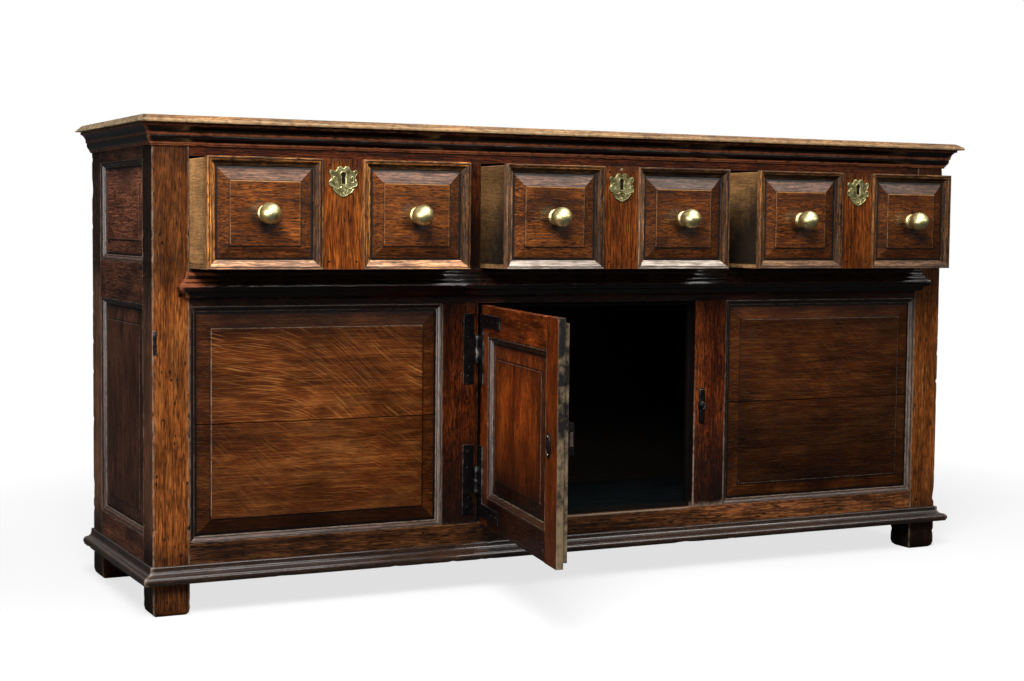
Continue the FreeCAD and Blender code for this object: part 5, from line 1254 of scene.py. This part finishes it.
def door():
    """Stiles and rails with their rebate, the fielded panel and its mouldings."""
    place = door_place()
    framing = Build(600)
    lips = (((DOOR_LEFT, DOOR_LOW), (DOOR_IN_LEFT, DOOR_HIGH), "z"),
            ((DOOR_IN_RIGHT, DOOR_LOW), (DOOR_RIGHT, DOOR_HIGH), "z"),
            ((DOOR_IN_LEFT, DOOR_LOW), (DOOR_IN_RIGHT, DOOR_IN_LOW), "x"),
            ((DOOR_IN_LEFT, DOOR_IN_HIGH), (DOOR_IN_RIGHT, DOOR_HIGH), "x"))
    for (u0, z0), (u1, z1), along in lips:
        free = u1 == DOOR_RIGHT
        soil_and_shade = ((0.0, 0.5), (0.07, 0.35), (0.16, 0.15), (0.26, 0.0), (0.36, 0.05))
        if along == "x":
            soil_and_shade = ((0.0, 0.45), (0.12, 0.2), (0.26, 0.0))
        low_tone = -2.0 if z1 == DOOR_IN_LOW else 0.0
        plank(framing, (u0, DOOR_FACE, z0), (u1, DOOR_SHOULDER, z1), along, radius=0.0014, chip=0.002,
              tone=low_tone, place=place, soil_and_shade=soil_and_shade, bare_side=free, step=0.008)
        rear_z0 = z0 + DOOR_REBATE if z0 == DOOR_LOW else z0
        rear_z1 = z1 - DOOR_REBATE if z1 == DOOR_HIGH else z1
        rear_u1 = u1 - DOOR_REBATE if u1 == DOOR_RIGHT else u1
        plank(framing, (u0, DOOR_SHOULDER, rear_z0), (rear_u1, DOOR_REAR, rear_z1), along, radius=0.001,
              chip=0.001, tone=-0.2, place=place, bare_side=free)
    framing.piece("door_frame", "door", "oak_frame", OAK_DOOR)
    panel = Build(620)
    wide = DOOR_IN_RIGHT - DOOR_IN_LEFT - 2 * PANEL_MOULDING
    tall = DOOR_IN_HIGH - DOOR_IN_LOW - 2 * PANEL_MOULDING
    corner = (DOOR_IN_LEFT + PANEL_MOULDING + wide, DOOR_FACE + PANEL_SUNK, DOOR_IN_LOW + PANEL_MOULDING)
    # A painted pool of light on the panel, with dust and painted light on its bevels and pale field edges from
    # wear and painted highlight.
    case_panel(panel, place @ axes(corner, Z, Y, -X), tall, wide, shade=0.5, blooms=(-0.2, -0.4, 0.0, -0.6),
               rubs=(0.5, 0.4, 0.2, 0.3), tone=-0.7, fade=(2.4, 0.0), glow=(0.6, 0.55, 0.32, 2.2))
    panel.piece("door_panel", "door", "oak_panel", OAK_DOOR, PANEL_SMOOTH)
    mouldings = Build(640)
    # Painted light and shade on each length of moulding.
    mitred_frame(mouldings, place @ axes((DOOR_IN_LEFT, DOOR_FACE + PANEL_SUNK, DOOR_IN_LOW), X, Y, Z),
                 PANEL_PROFILE, DOOR_IN_RIGHT - DOOR_IN_LEFT, DOOR_IN_HIGH - DOOR_IN_LOW, PANEL_CHIP,
                 painted_light_by_side=(0.0, -1.2, 0.3, -0.3), rub=0.5, blooms=(0.0, 0.0, 0.1, 0.0))
    mouldings.piece("door_mouldings", "door", "oak_moulding", OAK_INSET)


def hinge_leaf(build, place, middle, side, leg):
    """One hinge leaf with its nails and knuckles; side 1 is the door's, which has a leg."""
    low, high = middle - LEAF_HIGH / 2, middle + LEAF_HIGH / 2
    near, far = side * LEAF_NEAR, side * LEAF_FAR
    outline = [(near, low), (far, low), (far, high), (near, high)]
    nails = [(side * 0.018, low + 0.014), (side * 0.015, middle - 0.036), (side * 0.018, middle + 0.022),
             (side * 0.017, high - 0.014)]
    if leg == "high":
        outline = [(near, low), (far, low), (far, high - LEG_WIDE), (LEG_REACH, high - LEG_WIDE),
                   (LEG_REACH, high), (near, high)]
        nails += [(0.060, high - 0.012), (0.092, high - 0.013), (0.128, high - 0.012)]
    elif leg == "low":
        outline = [(near, low), (LEG_REACH, low), (LEG_REACH, low + LEG_WIDE), (far, low + LEG_WIDE),
                   (far, high), (near, high)]
        nails += [(0.060, low + 0.012), (0.092, low + 0.011), (0.128, low + 0.012)]
    if side < 0:
        outline = outline[::-1]
    face = place @ face_on((0, DOOR_FACE, 0))
    plate(build, face, [outline], LEAF_THICK, edge=0.0005, rim=0.65)
    for spot in nails:
        dome(build, face @ Matrix.Translation((*spot, LEAF_THICK)), NAIL_RADIUS, NAIL_RISE, wear_and_highlight=0.35)
    share = BARREL_HIGH / 3
    bottom = middle - BARREL_HIGH / 2
    spans = ((0, 1), (2, 3)) if side < 0 else ((1, 2),)
    for first, last in spans:
        low, high = bottom + share * first + KNUCKLE_GAP, bottom + share * last - KNUCKLE_GAP
        ring = [(PIN_HOLE, low), (BARREL_RADIUS - BARREL_EASED, low), (BARREL_RADIUS, low + BARREL_EASED),
                (BARREL_RADIUS, high - BARREL_EASED), (BARREL_RADIUS - BARREL_EASED, high), (PIN_HOLE, high)]
        lathe(build, place, ring, 20, wear_and_highlight=np.array([0, 0.5, 0.6, 0.6, 0.5, 0]))
        tab = [(0.0, low), (side * TAB_REACH, low), (side * TAB_REACH, high), (0.0, high)]
        plate(build, place @ face_on((0, DOOR_FACE - TAB_SUNK, 0)), [tab if side > 0 else tab[::-1]],
              LEAF_THICK - TAB_SUNK, edge=0.0002, dirt_and_shade=0.3)


def hinges():
    """Frame leaves on the muntin, and door leaves with a leg along the rail."""
    fixed, swinging = Build(660), Build(680)
    for middle, leg in zip(HINGE_MIDDLES, ("high", "low")):
        hinge_leaf(fixed, Matrix.Translation(HINGE), middle, -1, None)
        hinge_leaf(swinging, door_place(), middle, 1, leg)
    fixed.piece("hinge_frame_leaves", "carcass", "iron", IRON)
    swinging.piece("door_hinge_leaves", "door", "iron", IRON)


OVAL_RISE, OVAL_BEND, OVAL_THICK = 0.023, 0.028, 0.003
OVAL_FROM_EDGE, OVAL_MIDDLE, OVAL_PIN = 0.046, 0.336, 0.0155
DOOR_KEY_SCALE = 0.6


def door_key_plate():
    """A pointed oval plate with a raised rim and two pins."""
    build = Build(700)
    outline = trace([(0.0, -OVAL_RISE, OVAL_BEND), (0.0, OVAL_RISE, OVAL_BEND)], 12)
    place = door_place() @ face_on((DOOR_RIGHT - OVAL_FROM_EDGE, DOOR_FACE, OVAL_MIDDLE))
    face = 0.7 * OVAL_THICK
    plate(build, place, [outline, keyhole_outline(DOOR_KEY_SCALE)[::-1]], face, edge=0.0006, rim=0.4)
    bead(build, place, [(x * 0.86, y * 0.9, face) for x, y in outline], 0.0008, closed=True, wear_and_highlight=0.45)
    for side in (-1, 1):
        dome(build, place @ Matrix.Translation((0, side * OVAL_PIN, face)), 0.0018, 0.0012, wear_and_highlight=1.0)
    build.piece("door_key_plate", "door", "iron", IRON)


BUTTON_HALF, BUTTON_END, BUTTON_WAIST, BUTTON_BEND, BUTTON_THICK = 0.036, 0.007, 0.009, 0.018, 0.0035
SHANK = 0.0022


def turn_button():
    """The iron turn button on the right muntin, with its screw's head."""
    low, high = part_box("turn_button")
    centre = ((low.x + high.x) / 2, high.y, (low.z + high.z) / 2)
    arm, square = 0.25 * BUTTON_HALF, 0.5 * BUTTON_END
    right = [(square, -BUTTON_HALF), (BUTTON_END, square - BUTTON_HALF, square), (BUTTON_END, -arm),
             (BUTTON_WAIST, 0.0, BUTTON_BEND), (BUTTON_END, arm, BUTTON_BEND),
             (BUTTON_END, BUTTON_HALF - square), (square, BUTTON_HALF, square)]
    outline = trace(mirrored((0.0, -BUTTON_HALF), right, (0.0, BUTTON_HALF)), 4)
    build = Build(720)
    place = face_on(centre)
    plate(build, place, [outline], 0.55 * BUTTON_THICK, edge=0.0006, wear_and_highlight=0.1, rim=0.35)
    lug, near, far = 0.85 * BUTTON_END, 0.26 * BUTTON_HALF, 0.94 * BUTTON_HALF
    upper = [(-lug, near), (lug, near), (lug, far), (-lug, far)]
    lower = trace([(-lug, -0.9 * far), (0.0, -far, lug), (lug, -0.9 * far, lug), (lug, -near),
                   (-lug, -near)], 4)
    plate(build, place, [upper], BUTTON_THICK, edge=0.0008, wear_and_highlight=0.2, rim=0.7)
    plate(build, place, [lower], 0.9 * BUTTON_THICK, edge=0.0010, rim=0.3)
    turn = np.linspace(0, 2 * math.pi, 24, endpoint=False)
    eye = [(0.8 * BUTTON_WAIST * math.cos(angle), 0.8 * BUTTON_WAIST * math.sin(angle), 0.55 * BUTTON_THICK)
           for angle in turn]
    bead(build, place, eye, 0.0011, closed=True, wear_and_highlight=0.6)
    build.piece("turn_button", "turn_button", "iron", IRON)
    head_low, head_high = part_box("button_screw")
    screw = Build(730)
    radius = (head_high.x - head_low.x) / 2
    rise = centre[1] - BUTTON_THICK - head_low.y
    place = face_on((centre[0], head_low.y + rise, centre[2]))
    ring = [(SHANK, -0.020), (SHANK, 0.0005), (radius, 0.0005), (radius, 0.5 * rise),
            (0.75 * radius, 0.9 * rise), (0.3 * radius, rise), (0.0002, rise)]
    lathe(screw, place, ring, 20, wear_and_highlight=np.array([0, 0, 0.3, 0.6, 0.4, 0.2, 0.2]))
    screw.piece("button_screw", "carcass", "iron", IRON)


def kept_nodes():
    """CAD nodes whose shape is right: eased edges and a material of their own."""
    words = ("left", "centre", "right")
    wood = {"back_rails": BACK_RAILS, "back_boards": BACK_BOARDS, "floor_boards": FLOOR_BOARDS,
            "inner_battens": INNER_BOARDS}
    wood.update({"drawer_%s_bottom" % word: BOTTOM_BOARDS for word in words})
    wood.update({"drawer_%s_front" % word: FRONT_BOARDS for word in words})
    metal = {"hinge_pins": IRON, "door_lock": IRON, "door_bolt": LIT_BOLT_IRON}
    metal.update({"drawer_%s_%s" % (word, part): IRON for word in words for part in ("lock", "bolt")})
    for name, material in {**wood, **metal}.items():
        node = frame["nodes"][name]
        node.data.materials.clear()
        node.data.materials.append(material)
        ease = node.modifiers.new("eased", "BEVEL")
        ease.width = WOOD_EASE if name in wood else METAL_EASE
        ease.segments = 2
        ease.limit_method = "ANGLE"


posts()
frame_rails()
side_frames()
front_panels()
panel_mouldings()
top_boards()
# Painted highlight bands on the near-black cornice.
run_of_moulding("cornice", CORNICE_PROFILE, CASE_HIGH, HALF, BACK, 350, OAK_CORNICE_SHADED, chip=0.0018,
                lit=((0.0010, 0.0052), (0.0175, 0.0212), (0.0335, 0.040)))
# Painted highlight bands; the left end is paler and lighter as painted light where it stands clear of the
# drawers' shadow.
run_of_moulding("mid_moulding", MID_PROFILE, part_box("mid_moulding")[1].z, POST_INNER, FRONT, 360, OAK_CORNICE_SHADED,
                chip=0.002, lit=((0.0010, 0.0060), (0.0135, 0.0175), (0.0200, 0.0275)),
                rub=((-POST_INNER, 1.2), (-POST_INNER + 0.025, 1.1), (-POST_INNER + 0.055, 0.26)),
                tone=((-POST_INNER, 6.0), (-POST_INNER + 0.030, 4.0), (-POST_INNER + 0.055, 0.0)))
run_of_moulding("base_moulding", BASE_PROFILE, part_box("base_moulding")[1].z, HALF, BACK, 370, OAK_BASE,
                chip=0.004)
pegs()
drawers()
door()
hinges()
door_key_plate()
turn_button()
kept_nodes()


# Studio

def camera():
    """The camera at the photograph's place."""
    focal_pixels, frame_wide, sensor = 1753.6, 1024, 36.0
    yaw, pitch, roll = (math.radians(angle) for angle in (26.586, 3.725, 0.573))
    spot = (-1.697, -3.024, 0.704)
    forward = Vector((math.sin(yaw) * math.cos(pitch), math.cos(yaw) * math.cos(pitch), -math.sin(pitch)))
    right = Vector((math.cos(yaw), -math.sin(yaw), 0))
    up = right.cross(forward)
    turned_right = math.cos(roll) * right + math.sin(roll) * up
    turned_up = -math.sin(roll) * right + math.cos(roll) * up
    lens = bpy.data.cameras.new("camera")
    lens.sensor_width = sensor
    lens.sensor_fit = "HORIZONTAL"
    lens.lens = focal_pixels * sensor / frame_wide
    eye = bpy.data.objects.new("camera", lens)
    eye.matrix_world = axes(spot, turned_right, turned_up, -forward)
    bpy.context.scene.collection.objects.link(eye)
    bpy.context.scene.camera = eye


def softbox(name, spot, aim, wide, tall, watts, tint=(1.0, 1.0, 1.0), lights=True):
    """A large soft lamp that points at a spot; one that doesn't light is only mirrored in polish."""
    lamp = bpy.data.lights.new(name, "AREA")
    lamp.shape = "RECTANGLE"
    lamp.size, lamp.size_y = wide, tall
    lamp.energy = watts
    lamp.color = tint
    holder = bpy.data.objects.new(name, lamp)
    holder.location = spot
    holder.rotation_euler = (Vector(aim) - Vector(spot)).to_track_quat("-Z", "Y").to_euler()
    holder.visible_camera = False
    holder.visible_diffuse = lights
    bpy.context.scene.collection.objects.link(holder)


def seen_in_polish(tree):
    """One for a ray that comes off a polished face or through a clear one, otherwise nought."""
    glossy, clear = (tree.get("LightPath", "Is %s Ray" % word) for word in ("Glossy", "Transmission"))
    return glossy.math("MAXIMUM", clear)


def studio():
    """White floor and surroundings, soft lamps above and in front."""
    ambient, horizon, sky_level, floor_near, floor_far, floor_tint = 0.03, 0.04, 0.45, 0.74, 1.0, 0.25
    world = bpy.data.worlds.new("studio")
    bpy.context.scene.world = world
    world.use_nodes = True
    world.node_tree.nodes.clear()
    tree = Tree(world.node_tree)
    room = tree.place("Generated").part(2).ramp(0.10, 0.50, horizon, sky_level)
    level = (seen_in_polish(tree) * room).math("MAXIMUM", ambient)
    level = level.math("MAXIMUM", tree.get("LightPath", "Is Camera Ray"))
    tree.add("OutputWorld", {0: tree.get("Background", 0, {"Color": WHITE, "Strength": level})})

    mesh = bpy.data.meshes.new("floor")
    reach = 40.0
    mesh.from_pydata([(-reach, -reach, 0), (reach, -reach, 0), (reach, reach, 0), (-reach, reach, 0)], [],
                     [(0, 1, 2, 3)])
    floor = bpy.data.objects.new("floor", mesh)
    bpy.context.scene.collection.objects.link(floor)
    material, tree, shader = new_material("floor")
    away = tree.get("VectorMath", "Value", {0: tree.get("NewGeometry", "Position")}, operation="LENGTH")
    mirror = seen_in_polish(tree)
    seen = tree.get("LightPath", "Is Camera Ray").math("MAXIMUM", mirror * horizon)
    tree.set(shader, "Base Color", mirror * (-0.9 * floor_tint) + floor_tint)
    tree.set(shader, "Roughness", 0.9)
    tree.set(shader, "Specular IOR Level", 0.0)
    tree.set(shader, "Emission Color", WHITE)
    tree.set(shader, "Emission Strength", seen * away.ramp(1.2, 3.0, floor_near, floor_far))
    floor.data.materials.append(material)

    softbox("key", (-1.6, -2.1, 2.7), (-0.2, 0.0, 0.45), 1.4, 1.4, 150.0)
    softbox("overhead", (0.4, -0.5, 3.2), (0.1, 0.0, 0.5), 3.4, 1.8, 65.0, (0.96, 0.98, 1.0))
    softbox("sheen", (1.9, -3.3, 2.4), (0.0, 0.0, 0.7), 3.2, 0.85, 57.0, (1.0, 0.96, 0.92), False)
    softbox("left_sheen", (-3.4, -1.0, 0.9), (-0.2, 0.0, 0.5), 2.4, 1.6, 75.0, (0.93, 0.95, 1.0), False)
    bpy.context.scene.view_settings.view_transform = "Standard"


camera()
studio()
